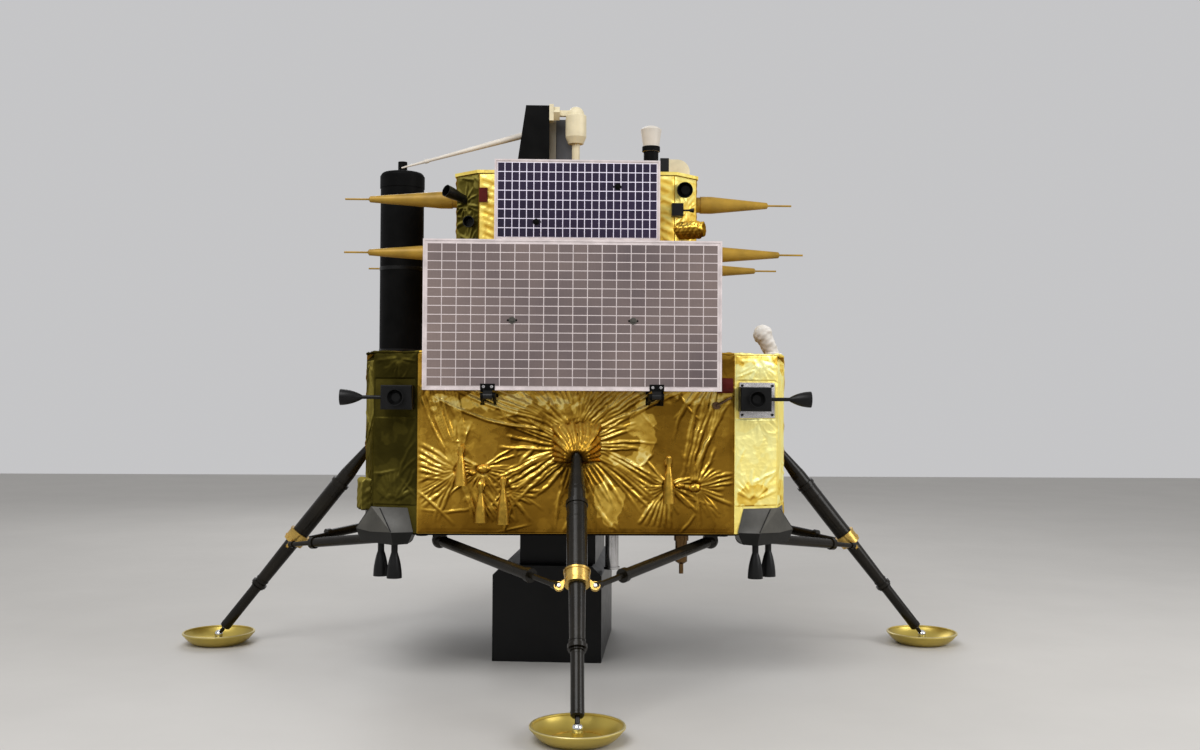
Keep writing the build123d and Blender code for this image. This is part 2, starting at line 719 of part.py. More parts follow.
def hold_downs(front, hinge_z, places):
    """Round caps standing off a panel's front."""
    cap = Cylinder(HOLD_DOWN_R, HOLD_DOWN_RISE * 2)
    return [Pos(x, front, hinge_z + height) * Rot(90, 0, 0) * cap for x, height in places]


def big_panel():
    panel = hinged_panel(PANEL_WIDTH, PANEL_HEIGHT, PANEL_THICK, PANEL_OUT, PANEL_HINGE_Z, PANEL_HINGE_SIDE,
                         PANEL_SHIFT)
    places = [(PANEL_SHIFT + side * HOLD_DOWN_SIDE, HOLD_DOWN_UP) for side in (-1, 1)]
    return panel + hold_downs(-PANEL_OUT - PANEL_THICK / 2, PANEL_HINGE_Z, places)


def upper_panel():
    panel = hinged_panel(UPPER_PANEL_WIDTH, UPPER_PANEL_HEIGHT, UPPER_PANEL_THICK, UPPER_PANEL_OUT,
                         UPPER_HINGE_Z, UPPER_HINGE_SIDE, 0.0)
    return panel + hold_downs(-UPPER_PANEL_OUT - UPPER_PANEL_THICK / 2, UPPER_HINGE_Z, UPPER_HOLD_DOWNS)


def hinge_brackets(out, hinge_z, hinge_side, shift, wall):
    """Two clevises with their pins, standing off the wall behind a panel."""
    brackets = []
    inner = KNUCKLE_HALF + EAR_GAP
    side_view = [(-out, hinge_z - KNUCKLE_R), (-wall, hinge_z - HINGE_FOOT_HALF),
                 (-wall, hinge_z + KNUCKLE_R), (-out, hinge_z + KNUCKLE_R)]
    for x in (shift - hinge_side, shift + hinge_side):
        bracket = crosswise(x, -out, hinge_z, Cylinder(HINGE_PIN_R, (inner + EAR) * 2))
        for side in (-1, 1):
            ear_x = x + side * (inner + EAR / 2)
            knob = crosswise(ear_x, -out, hinge_z, Cylinder(KNUCKLE_R, EAR))
            bracket = bracket + knob + bar(side_view, *span(ear_x, EAR))
        foot = slab(span(x, HINGE_FOOT_HALF * 2), (-wall - HINGE_FOOT_THICK, -wall),
                    span(hinge_z, HINGE_FOOT_HALF * 2))
        brackets.append(bracket + foot)
    return brackets


def panel_motors():
    """Dark red drum beside the large panel's lower corner, and the red block at the small panel's edge."""
    drum_x = FACE_HALF - MOTOR_IN + MOTOR_LENGTH / 2
    drum_y = -BODY_HALF - MOTOR_OUT
    drum_z = DECK_Z - MOTOR_DROP
    drum = crosswise(drum_x, drum_y, drum_z, Cylinder(MOTOR_R, MOTOR_LENGTH))
    saddle = slab(span(drum_x, MOTOR_LENGTH / 2), (drum_y, -BODY_HALF), span(drum_z, MOTOR_R))
    wide, deep, high = RED_BLOCK
    block_x = ASCENT_CHAMFER - ASCENT_HALF + RED_BLOCK_IN
    block = slab((block_x, block_x + wide), (-ASCENT_HALF - deep, -ASCENT_HALF),
                 span(ASCENT_TOP - RED_BLOCK_DROP, high))
    return [drum + saddle, block]


def drive_rod():
    """Bright rod by the drum, on a stud in the flat side."""
    x, y, z = FACE_HALF - ROD_IN, -BODY_HALF - MOTOR_OUT, DECK_Z - ROD_DROP
    end = (x + ROD_RUN, y, z + ROD_RISE)
    rod = between((x, y, z), end, turned([(ROD_R, 0), (ROD_R, math.dist((x, y, z), end))]))
    stud = Pos(x, y + MOTOR_OUT / 2, z) * Rot(90, 0, 0) * Cylinder(ROD_STUD_R, MOTOR_OUT)
    return rod + stud


# Ascent stage

def chamfered_block(half, cut, low, high):
    block = Pos(0, 0, low) * extrude(Rectangle(half * 2, half * 2), high - low)
    return chamfer(block.edges().filter_by(Axis.Z), cut)


def ascent_body():
    """Chamfered block with a thin rim round its top."""
    body = chamfered_block(ASCENT_HALF, ASCENT_CHAMFER, ASCENT_LOW, ASCENT_TOP)
    return body + chamfered_block(ASCENT_HALF + TOP_RIM_OUT, ASCENT_CHAMFER, ASCENT_TOP - TOP_RIM, ASCENT_TOP)


def adapter_posts():
    """Four tapered posts between the deck and the ascent stage."""
    posts = []
    place = ASCENT_HALF - POST_IN
    for _, x_sign, y_sign in CORNERS:
        low = Pos(x_sign * place, y_sign * place, DECK_Z) * Rectangle(POST_LOW, POST_LOW)
        high = Pos(x_sign * place, y_sign * place, ASCENT_LOW) * Rectangle(POST_TOP, POST_TOP)
        posts.append(loft([low, high], ruled=True))
    return posts


def ascent_engine():
    shape = bell(ADAPTER_HEIGHT - ENGINE_CLEAR, ENGINE_NECK, ENGINE_MOUTH_R, ENGINE_THROAT_R, ENGINE_WALL)
    return along((0, 0, ASCENT_LOW), (0, 0, -1), shape)


def boom(side, y, height, length):
    """Cone on a short foot, with a shouldered thin tip."""
    root_end = BOOM_FOOT + BOOM_ROOT
    profile = [
        (BOOM_FOOT_R, 0), (BOOM_FOOT_R, BOOM_FOOT), (BOOM_ROOT_R, BOOM_FOOT), (BOOM_ROOT_R, root_end),
        (BOOM_END_R, length), (BOOM_TIP_R, length + BOOM_SHOULDER), (BOOM_TIP_R, length + BOOM_TIP),
    ]
    return along((side * ASCENT_HALF, y, ASCENT_LOW + height), (side, 0, 0), turned(profile))


def chamfer_point(side, forward, height):
    """Point on a front chamfer: forward of its middle towards the front, and up from the stage's foot."""
    middle = ASCENT_HALF - ASCENT_CHAMFER / 2
    step = forward / math.sqrt(2)
    return (side * (middle - step), -(middle + step), ASCENT_LOW + height)


def sunk(start, direction, depth):
    """Start moved back along its direction, so that a slanted piece meets its wall all round."""
    return [place - depth * way for place, way in zip(start, direction)]


def chamfer_units():
    """Black bells and the small box with its own bell on the front chamfers."""
    stage = ascent_body()
    units = []
    for side, forward, height, direction, (length, neck, mouth_r, neck_r) in CHAMFER_BELLS:
        depth = neck_r * 2
        shape = bell(length + depth, neck + depth, mouth_r, neck_r)
        start = sunk(chamfer_point(side, forward, height), direction, depth)
        units.append(along(start, direction, shape) - stage)
    x, y, z = chamfer_point(1, SMALL_BOX_FORWARD, SMALL_BOX_HEIGHT)
    wide, deep, high = SMALL_BOX
    box = slab(span(x, wide), (y - deep, y + wide), span(z, high))
    stub = along((x + wide / 2, y - deep / 2, z), (1, 0, 0), bell(*SMALL_BOX_BELL, SMALL_BELL_WALL))
    units.append(box + stub - stage)
    return units


def gold_sensor():
    """Drum on the right chamfer with a narrower rim at its end."""
    depth = DRUM_R * 2
    base = depth + DRUM_LENGTH
    drum = turned([(DRUM_R, 0), (DRUM_R, base), (DRUM_RIM_R, base), (DRUM_RIM_R, base + DRUM_RIM)])
    start = sunk(chamfer_point(1, DRUM_FORWARD, DRUM_HEIGHT), DRUM_DIRECTION, depth)
    return along(start, DRUM_DIRECTION, drum) - ascent_body()


# Instruments on top of the ascent stage

def top_box():
    """Black housing, its left side leaning in towards the top."""
    top = ASCENT_TOP + TOP_BOX_HEIGHT
    outline = Polyline((TOP_BOX_LEFT, ASCENT_TOP), (TOP_BOX_RIGHT, ASCENT_TOP), (TOP_BOX_RIGHT, top),
                       (TOP_BOX_LEFT + TOP_BOX_LEAN, top), close=True)
    return extrude(Plane.XZ.offset(-TOP_BOX_BACK) * make_face(outline), TOP_BOX_BACK - TOP_BOX_FRONT)


def slate_box():
    """Slate box against the black housing, with a rail up its near edge."""
    box = slab((TOP_BOX_RIGHT, TOP_BOX_RIGHT + SLATE_WIDTH), (SLATE_FRONT, TOP_BOX_BACK),
               (ASCENT_TOP, ASCENT_TOP + SLATE_HEIGHT))
    rail = slab((TOP_BOX_RIGHT, TOP_BOX_RIGHT + RAIL_WIDTH), (SLATE_FRONT - RAIL_DEPTH, SLATE_FRONT),
                (ASCENT_TOP, ASCENT_TOP + RAIL_HEIGHT))
    return box + rail


def docking_mast():
    """Slim post with a drum and a domed knob on top."""
    post = turned([
        (MAST_FOOT_R, 0), (MAST_FOOT_R, MAST_FOOT), (MAST_POST_R, MAST_FOOT), (MAST_POST_R, MAST_DRUM_LOW),
        (MAST_CONE_R, MAST_DRUM_LOW), (MAST_DRUM_R, MAST_DRUM_LOW + MAST_CONE), (MAST_DRUM_R, MAST_DRUM_TOP),
    ])
    post = fillet(post.edges().sort_by(Axis.Z)[-1], MAST_DRUM_ROUND)
    knob = spun(Polyline((0, KNOB_HEIGHT), (0, 0), (KNOB_R, 0)), domed(KNOB_R, 0, KNOB_HEIGHT))
    return Pos(MAST_X, MAST_Y, ASCENT_TOP) * (post + Pos(0, 0, MAST_DRUM_TOP) * knob)


def mast_arm():
    """Bracket on the black housing, a diamond nut and an arm to the mast's knob."""
    wide, deep, high = ARM_BRACKET
    nut_length, nut_width = ARM_NUT
    z = ASCENT_TOP + TOP_BOX_HEIGHT - ARM_DROP
    bracket_end = TOP_BOX_RIGHT + wide
    bracket = slab((TOP_BOX_RIGHT, bracket_end), span(MAST_Y, deep), span(z, high))
    nut = Pos(bracket_end + nut_length / 2, MAST_Y, z) * Rot(45, 0, 0) * Box(nut_length, nut_width, nut_width)
    arm = slab((bracket_end, MAST_X), span(MAST_Y, ARM_THICK), span(z, ARM_THICK))
    return (bracket + nut + arm) - docking_mast() - top_box()


def horn_antenna():
    """Post, dark ring and a horn that widens to a domed mouth."""
    ring_top = ANTENNA_POST + ANTENNA_RING
    horn_top = ring_top + ANTENNA_HORN
    tip = (0, horn_top + ANTENNA_DOME)
    stem = Polyline(tip, (0, 0), (ANTENNA_POST_R, 0), (ANTENNA_POST_R, ANTENNA_POST),
                    (ANTENNA_RING_R, ANTENNA_POST), (ANTENNA_RING_R, ring_top), (ANTENNA_HORN_R, ring_top),
                    (ANTENNA_MOUTH_R, horn_top))
    dome = domed(ANTENNA_MOUTH_R, horn_top, ANTENNA_DOME)
    return Pos(ASCENT_HALF - ANTENNA_IN, ANTENNA_Y, ASCENT_TOP) * spun(stem, dome)


def sample_rod():
    """Long cream cone with a knuckle near its thin tip, reaching left from the black housing."""
    start = (TOP_BOX_LEFT + TOP_BOX_LEAN, SAMPLE_Y, ASCENT_TOP + SAMPLE_HEIGHT)
    end = [place + reach for place, reach in zip(start, SAMPLE_REACH)]
    length = math.dist(start, end)
    knuckle_end = SAMPLE_KNUCKLE_AT + SAMPLE_KNUCKLE
    rod = turned([
        (SAMPLE_ROOT_R, 0), (SAMPLE_TIP_ROOT_R, SAMPLE_KNUCKLE_AT), (SAMPLE_KNUCKLE_R, SAMPLE_KNUCKLE_AT),
        (SAMPLE_KNUCKLE_R, knuckle_end), (SAMPLE_TIP_ROOT_R, knuckle_end), (SAMPLE_TIP_R, length),
    ])
    return between(start, end, rod) - top_box()


def round_fin():
    """Upright cream plate with one rounded shoulder, and the black block beside it."""
    x = ASCENT_HALF - FIN_IN_X
    y = FIN_IN_Y - ASCENT_HALF
    plate = slab((x, x + FIN_WIDTH), (y - FIN_THICK, y), (ASCENT_TOP, ASCENT_TOP + FIN_HEIGHT))
    upper = plate.edges().filter_by(Axis.Y).sort_by(Axis.Z)[-2:]
    wide, deep, high = FIN_BLOCK
    block = slab((x - wide, x), (y - FIN_THICK, y - FIN_THICK + deep), (ASCENT_TOP, ASCENT_TOP + high))
    return [fillet(upper.sort_by(Axis.X)[-1], FIN_ROUND), block]


# Pieces on the deck

def drill_housing():
    """Tall drum with a rounded shoulder, a band near its top and a knob."""
    neck = DRILL_HEIGHT - DRILL_ROUND
    band_low = neck - DRILL_BAND
    band_r = DRILL_R + DRILL_BAND_RISE
    knob_top = DRILL_HEIGHT + DRILL_KNOB
    shoulder_r = DRILL_R - DRILL_ROUND
    outline = Polyline((shoulder_r, DRILL_HEIGHT), (DRILL_KNOB_R, DRILL_HEIGHT), (DRILL_KNOB_R, knob_top),
                       (0, knob_top), (0, 0), (DRILL_R, 0), (DRILL_R, band_low), (band_r, band_low),
                       (band_r, neck), (DRILL_R, neck))
    shoulder = bowed((DRILL_R, neck), (shoulder_r, DRILL_HEIGHT), DRILL_ROUND_BOW)
    return Pos(-(BODY_HALF - DRILL_IN), 0, DECK_Z) * spun(outline, shoulder)


def arm_shoulder():
    """Wrapped arm shoulder: a foot on the deck, a leaning neck and a round head."""
    x = BODY_HALF - ARM_FOOT_IN_X
    y = ARM_FOOT_IN_Y - BODY_HALF
    start = (x, y, DECK_Z)
    head = (x - ARM_LEAN, y, DECK_Z + ARM_RISE)
    foot = Pos(x, y, DECK_Z + ARM_FOOT / 2) * Cylinder(ARM_FOOT_R, ARM_FOOT)
    neck = between(start, head, turned([(ARM_NECK_R, 0), (ARM_NECK_TOP_R, math.dist(start, head))]))
    below = slab(span(x, ARM_FOOT_R * 4), span(y, ARM_FOOT_R * 4), (BELLY_Z, DECK_Z))
    return foot + neck + Pos(*head) * Sphere(ARM_HEAD_R) - below


# Stand and fittings under the belly

def stand_frame(x):
    return Pos(x, STAND_Y, 0) * Rot(0, 0, STAND_TURN)


def stand():
    """Black block with its two long upper edges cut off."""
    block = Pos(0, 0, STAND_HEIGHT / 2) * Box(STAND_WIDTH, STAND_DEPTH, STAND_HEIGHT)
    long_edges = block.faces().sort_by(Axis.Z)[-1].edges().filter_by(Axis.Y)
    return stand_frame(STAND_X) * chamfer(long_edges, STAND_CHAMFER)


def stand_neck():
    height = UNDERSIDE - STAND_HEIGHT
    neck = Box(STAND_NECK_WIDTH, STAND_NECK_DEPTH, height)
    return stand_frame(STAND_NECK_X) * Pos(0, 0, STAND_HEIGHT + height / 2) * neck


def belly_pipe():
    """Bright pipe with a lip, open below."""
    bore_r = PIPE_R - PIPE_WALL
    lip_at = PIPE_LENGTH - PIPE_LIP
    pipe = spun(Polyline((bore_r, PIPE_LENGTH), (PIPE_LIP_R, PIPE_LENGTH), (PIPE_LIP_R, lip_at),
                         (PIPE_R, lip_at), (PIPE_R, 0), (0, 0), (0, PIPE_WALL), (bore_r, PIPE_WALL),
                         close=True))
    return along((PIPE_X, PIPE_Y, UNDERSIDE), (0, 0, -1), pipe)


def belly_probe():
    """Stepped probe that narrows to a blunt tip."""
    body_end = PROBE_BASE + PROBE_LENGTH
    cone_end = body_end + PROBE_CONE
    probe = turned([
        (PROBE_BASE_R, 0), (PROBE_BASE_R, PROBE_BASE), (PROBE_R, PROBE_BASE), (PROBE_R, body_end),
        (PROBE_TIP_R, cone_end), (PROBE_TIP_R, cone_end + PROBE_TIP),
    ])
    return along((PROBE_X, PROBE_Y, UNDERSIDE), (0, 0, -1), probe)


STRUT = main_strut()
CLAMP = clamp_ring()
BRACES = [brace(side) for side in (-1, 1)]
JOINTS = [brace_joint(side) for side in (-1, 1)]
PAD = foot_pad()

for name, quarter in SIDES:
    keep(f"foot_pad_{name}", PAD.rotate(Axis.Z, quarter))
    keep(f"main_strut_{name}", STRUT.rotate(Axis.Z, quarter))
    keep(f"clamp_ring_{name}", CLAMP.rotate(Axis.Z, quarter))
    keep(f"braces_{name}", [piece.rotate(Axis.Z, quarter) for piece in BRACES])
keep("foot_balls", four_sides([foot_ball()]))
keep("brace_joints", four_sides(JOINTS))
keep("root_covers", four_sides([root_cover()]))

for name, x_sign, y_sign in CORNERS:
    keep(f"corner_bay_{name}", to_corner(corner_bay(), x_sign, y_sign))
    keep(f"thruster_unit_{name}", [to_corner(piece, x_sign, y_sign) for piece in thruster_unit()])
keep("corner_brackets", four_corners([corner_bracket()]))
keep("corner_nozzles", four_corners(corner_bells()))
keep("backing_plates", [to_corner(backing_plate(), 1, y_sign) for y_sign in (-1, 1)])
keep("body_core", body_core())
keep("belly_plate", belly_plate())
keep("side_box", side_box())

for name, quarter in (("front", 0), ("back", 180)):
    keep(f"solar_panel_{name}", big_panel().rotate(Axis.Z, quarter))
    keep(f"ascent_panel_{name}", upper_panel().rotate(Axis.Z, quarter))
    fixed = hinge_brackets(PANEL_OUT, PANEL_HINGE_Z, PANEL_HINGE_SIDE, PANEL_SHIFT, BODY_HALF)
    fixed += hinge_brackets(UPPER_PANEL_OUT, UPPER_HINGE_Z, UPPER_HINGE_SIDE, 0.0, ASCENT_HALF)
    keep(f"hinge_brackets_{name}", [piece.rotate(Axis.Z, quarter) for piece in fixed])
keep("face_bells", front_and_back(face_bells()))
keep("hinge_motor", front_and_back(panel_motors()))
keep("drive_rods", front_and_back([drive_rod()]))

keep("ascent_body", ascent_body())
keep("adapter_posts", adapter_posts())
keep("ascent_engine", ascent_engine())
keep("booms", [boom(*row) for row in BOOMS])
keep("ascent_units", chamfer_units())
keep("gold_sensor", gold_sensor())

keep("top_box", top_box())
keep("top_strip", slate_box())
keep("docking_mast", docking_mast())
keep("mast_arm", mast_arm())
keep("horn_antenna", horn_antenna())
keep("sample_rod", sample_rod())
keep("dome_plate", round_fin())
keep("drill_housing", drill_housing())
keep("arm_shoulder", arm_shoulder())

keep("stand", stand())
keep("stand_neck", stand_neck())
keep("belly_fittings", [belly_pipe(), belly_probe()])
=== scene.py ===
"""Half-scale lunar lander: foil blankets, solar cells, fittings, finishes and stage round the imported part."""

import json
import math

import bmesh
import bpy
import numpy as np
from bpy.props import FloatProperty, FloatVectorProperty, IntProperty, PointerProperty
from mathutils import Matrix, Vector, noise


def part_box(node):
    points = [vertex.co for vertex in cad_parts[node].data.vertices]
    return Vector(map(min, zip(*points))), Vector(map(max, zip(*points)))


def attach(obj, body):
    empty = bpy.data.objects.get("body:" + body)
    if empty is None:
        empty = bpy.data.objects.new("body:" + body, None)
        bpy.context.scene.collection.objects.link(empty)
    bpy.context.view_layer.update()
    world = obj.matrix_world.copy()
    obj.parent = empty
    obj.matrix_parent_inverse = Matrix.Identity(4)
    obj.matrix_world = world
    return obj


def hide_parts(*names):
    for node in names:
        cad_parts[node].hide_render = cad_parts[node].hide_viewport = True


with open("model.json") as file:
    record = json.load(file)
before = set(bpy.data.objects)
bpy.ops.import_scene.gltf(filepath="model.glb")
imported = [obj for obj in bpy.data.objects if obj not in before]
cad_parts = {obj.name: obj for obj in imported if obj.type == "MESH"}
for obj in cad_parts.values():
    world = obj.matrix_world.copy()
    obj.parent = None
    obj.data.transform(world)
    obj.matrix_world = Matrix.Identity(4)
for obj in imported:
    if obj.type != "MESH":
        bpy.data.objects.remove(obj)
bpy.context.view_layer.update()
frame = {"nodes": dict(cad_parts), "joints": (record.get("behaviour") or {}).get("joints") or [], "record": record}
NODES = frame["nodes"]

bl_info = {
    "name": "Lunar lander finishes",
    "version": (1, 0, 0),
    "blender": (4, 5, 0),
    "location": "3D View > Sidebar > Lander",
    "description": "Foil, solar cells, fittings, finishes and stage of a lunar lander model",
    "category": "Object",
}

UP = Vector((0, 0, 1))
QUARTERS = (("front", 0), ("right", 90), ("back", 180), ("left", 270))
CORNERS = [(x_sign, y_sign) for x_sign in (-1, 1) for y_sign in (-1, 1)]

CORE_LOW, CORE_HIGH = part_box("body_core")
STAGE_LOW, STAGE_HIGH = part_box("ascent_body")
# half widths of the body and of its flat sides, and the body's heights
HALF = CORE_HIGH.x
FACE_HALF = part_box("corner_bay_front_right")[0].x
BELLY_Z = CORE_LOW.z
DECK_Z = CORE_HIGH.z
BODY_TALL = DECK_Z - BELLY_Z

# body, node, side, whether it is a large one
PANELS = (("front_panel", "solar_panel_front", -1, True), ("back_panel", "solar_panel_back", 1, True),
          ("front_ascent_panel", "ascent_panel_front", -1, False),
          ("back_ascent_panel", "ascent_panel_back", 1, False))
HINGES = {row["child"]: row["pos_m"] for row in frame["joints"]}
# height of a panel's bare lower edge, and half of the panels' thicknesses
PANEL_FOOT = 0.025
BIG_HALF_THICK, SMALL_HALF_THICK = 0.0060, 0.0050


# Properties

class LanderFoil(bpy.types.PropertyGroup):
    step: FloatProperty(name="Mesh step", description="Spacing of the foil's mesh", default=0.0045,
                        unit="LENGTH")
    front_step: FloatProperty(name="Front mesh step", description="Spacing on the front wall",
                              default=0.0026, unit="LENGTH")
    fine_step: FloatProperty(name="Fine mesh step", description="Spacing on the corners", default=0.0034,
                             unit="LENGTH")
    deck_step: FloatProperty(name="Deck mesh step", description="Spacing on the deck", default=0.007,
                             unit="LENGTH")
    top_step: FloatProperty(name="Top mesh step", description="Spacing on the ascent stage's top",
                            default=0.006, unit="LENGTH")
    hem_step: FloatProperty(name="Hem mesh step", description="Spacing along the deck's hem", default=0.004,
                            unit="LENGTH")
    depth: FloatProperty(name="Fold depth", description="Height of the body's folds", default=0.010,
                         unit="LENGTH")
    stage_depth: FloatProperty(name="Stage fold depth", description="Height of the ascent stage's folds",
                               default=0.006, unit="LENGTH")
    ridge_in: FloatProperty(name="Ridge", description="Bay's ridge in from the outer planes",
                            default=0.042, unit="LENGTH")
    stage_cut: FloatProperty(name="Stage chamfer", description="Cut corners of the ascent stage",
                             default=0.076, unit="LENGTH")
    stage_rim: FloatProperty(name="Stage rim", description="Rim's overhang round the stage's top",
                             default=0.004, unit="LENGTH")


class LanderPanels(bpy.types.PropertyGroup):
    columns: IntProperty(name="Columns", description="Solar cells across a large panel", default=20)
    upper_columns: IntProperty(name="Upper columns", description="Solar cells across a small panel",
                               default=22)
    rows: IntProperty(name="Rows", description="Rows of cells on a large panel", default=16)
    upper_rows: IntProperty(name="Upper rows", description="Rows of cells on a small panel", default=8)
    line: FloatProperty(name="Line", description="Width of the pale lines between cells", default=0.0033,
                        unit="LENGTH")
    upper_line: FloatProperty(name="Upper line", description="Width of the small panels' lines",
                              default=0.0035, unit="LENGTH")
    border: FloatProperty(name="Border", description="Pale border round the cells", default=0.012,
                          unit="LENGTH")


class LanderPaint(bpy.types.PropertyGroup):
    line: FloatVectorProperty(name="Lines", description="Lines and frames of the large panels",
                              subtype="COLOR", default=(0.68, 0.60, 0.60))
    cool_line: FloatVectorProperty(name="Cool lines", description="Lines on the small panels",
                                   subtype="COLOR", default=(0.86, 0.81, 0.96))
    gold: FloatVectorProperty(name="Gold", description="Satin gold fittings", subtype="COLOR",
                              default=(0.62, 0.40, 0.10))
    boom: FloatVectorProperty(name="Booms", description="Ochre booms", subtype="COLOR",
                              default=(0.385, 0.228, 0.029))
    cream: FloatVectorProperty(name="Cream", description="Cream fittings", subtype="COLOR",
                               default=(0.72, 0.64, 0.44))


class LanderStage(bpy.types.PropertyGroup):
    floor: FloatVectorProperty(name="Floor", description="Floor's colour", subtype="COLOR",
                               default=(0.57, 0.555, 0.535))
    backdrop: FloatVectorProperty(name="Backdrop", description="Colour behind the lander", subtype="COLOR",
                                  default=(0.56, 0.56, 0.57))
    world: FloatProperty(name="World", description="Strength of the light from all round", default=0.42)
    key: FloatProperty(name="Key", description="Power of the large lamp above the front", default=162.0,
                       unit="POWER")
    fill: FloatProperty(name="Fill", description="Power of the lamp at the right", default=92.0,
                        unit="POWER")
    rim: FloatProperty(name="Rim", description="Power of the lamp behind", default=60.0, unit="POWER")
    lens: FloatProperty(name="Lens", description="Focal length in millimetres", default=36.75, unit="CAMERA")
    camera: FloatVectorProperty(name="Camera", description="Camera's place", subtype="TRANSLATION",
                                unit="LENGTH", default=(-0.040, -4.200, 0.836))


# Materials

MATERIALS = {}
DARK = (0.0045, 0.0045, 0.0045)


def painted(name):
    """New material, kept under its finish's name; returns its tree and its shader."""
    material = bpy.data.materials.new(f"lander_{name}")
    material.use_nodes = True
    MATERIALS[name] = material
    return material.node_tree, material.node_tree.nodes["Principled BSDF"]


def plug(tree, entry, value):
    """Link a socket to an input, or set the input's value."""
    if isinstance(value, bpy.types.NodeSocket):
        tree.links.new(value, entry)
    else:
        entry.default_value = value


def wire(tree, made, **values):
    """Give a node's inputs, by name, their values or the sockets that feed them."""
    for name, value in values.items():
        plug(tree, made.inputs[name.replace("_", " ")], value)


def node(tree, kind, *sources, **settings):
    """New node. Sources feed its first inputs in turn; settings name its attributes and inputs."""
    made = tree.nodes.new(kind)
    for key, value in settings.items():
        if hasattr(made, key):
            setattr(made, key, value)
        else:
            wire(tree, made, **{key: value})
    for entry, source in zip(made.inputs, sources):
        plug(tree, entry, source)
    return made


def places(tree):
    """Socket of object coordinates."""
    return tree.nodes.new("ShaderNodeTexCoord").outputs["Object"]


def ramp(tree, source, stops):
    """Colour ramp fed by a socket. Stops: place, colour."""
    made = node(tree, "ShaderNodeValToRGB", source)
    elements = made.color_ramp.elements
    while len(elements) < len(stops):
        elements.new(0.5)
    for element, (place, tone) in zip(elements, stops):
        element.position = place
        element.color = (*tone[:3], 1.0)
    return made.outputs["Color"]


def span_of(tree, source, low, high):
    """Socket from 0..1 carried to a range."""
    return node(tree, "ShaderNodeMapRange", Value=source, To_Min=low, To_Max=high).outputs["Result"]


def plus(tree, source, factor, added):
    """Socket times a factor, plus a socket or a number."""
    return node(tree, "ShaderNodeMath", source, factor, added, operation="MULTIPLY_ADD").outputs["Value"]


def grain(tree, scale, detail=4.0, stretch=(1, 1, 1)):
    """Noise on object coordinates; its scale is per metre."""
    mapped = node(tree, "ShaderNodeMapping", Vector=places(tree), Scale=stretch).outputs["Vector"]
    return node(tree, "ShaderNodeTexNoise", Vector=mapped, Scale=scale, Detail=detail).outputs["Fac"]


def raised(tree, height, depth, strength, below=None):
    """Bump from a height, over another one."""
    made = node(tree, "ShaderNodeBump", Height=height, Strength=strength, Distance=depth)
    if below is not None:
        wire(tree, made, Normal=below)
    return made.outputs["Normal"]


def crinkles(tree, wrinkle):
    """Bump of small sharp facets on warped object coordinates."""
    place = places(tree)
    warp = node(tree, "ShaderNodeTexNoise", Vector=place, Scale=7.0, Detail=2.0).outputs["Color"]
    bend = node(tree, "ShaderNodeVectorMath", warp, (0.10, 0.10, 0.10), place, operation="MULTIPLY_ADD")
    bent = bend.outputs["Vector"]
    broad = node(tree, "ShaderNodeTexVoronoi", feature="DISTANCE_TO_EDGE", Vector=bent, Scale=15.0)
    small = node(tree, "ShaderNodeTexVoronoi", feature="F1", Vector=bent, Scale=60.0)
    low = raised(tree, broad.outputs["Distance"], wrinkle * 3, 0.4)
    return raised(tree, small.outputs["Distance"], wrinkle, 0.3, low)


def shade(tone, factor):
    return tuple(min(1.0, part * factor) for part in tone[:3])


def satin(name, tone, metallic, rough, scale, change, bump=0.0004, specular=0.5, stretch=(1, 1, 1)):
    """Paint or metal whose tone, gloss and surface vary a little."""
    tree, shader = painted(name)
    tones = ramp(tree, grain(tree, scale, 5.0, stretch),
                 ((0.30, shade(tone, 1 - change)), (0.52, tone), (0.74, shade(tone, 1 + change))))
    fine = grain(tree, scale * 6, 3.0, stretch)
    wire(tree, shader, Base_Color=tones, Roughness=span_of(tree, fine, *rough),
         Normal=raised(tree, fine, bump, 0.5), Metallic=metallic, Specular_IOR_Level=specular)


def foil(name, stops, rough, metallic, wrinkle=0.0035, plain=False, edge=(0.8, 0.55, 0.16)):
    """Crumpled foil. Its tone follows the painted light and shade that a blanket writes in an attribute, or on a
    plain node only the grain.
    """
    tree, shader = painted(name)
    broad = grain(tree, 9.0, 6.0)
    if plain:
        tone = span_of(tree, broad, 0.15, 0.85)
    else:
        fold = node(tree, "ShaderNodeAttribute", attribute_name="fold").outputs["Fac"]
        tone = plus(tree, broad, 0.30, plus(tree, fold, 1.0, -0.15))
    wire(tree, shader, Base_Color=ramp(tree, tone, stops), Normal=crinkles(tree, wrinkle),
         Roughness=span_of(tree, grain(tree, 30.0), *rough), Metallic=metallic, Specular_IOR_Level=0.0,
         Specular_Tint=(*edge, 1.0))


def cells(name, low, high, rough):
    """Solar cells: each a little different, with fine fingers and a slow change over the panel, a painted
    reflection at random places.
    """
    tree, shader = painted(name)
    each = node(tree, "ShaderNodeAttribute", attribute_name="cell").outputs["Fac"]
    # painted reflection: a slow change over the panel, at random places
    slow = span_of(tree, grain(tree, 2.4, 2.0), -0.25, 1.0)
    fingers = node(tree, "ShaderNodeTexWave", bands_direction="X", Vector=places(tree), Scale=78.0)
    tone = plus(tree, each, 0.12, plus(tree, fingers.outputs["Fac"], 0.10, slow))
    wire(tree, shader, Base_Color=ramp(tree, tone, ((0.15, low), (0.9, high))),
         Roughness=span_of(tree, grain(tree, 40.0), *rough), Specular_IOR_Level=0.3)


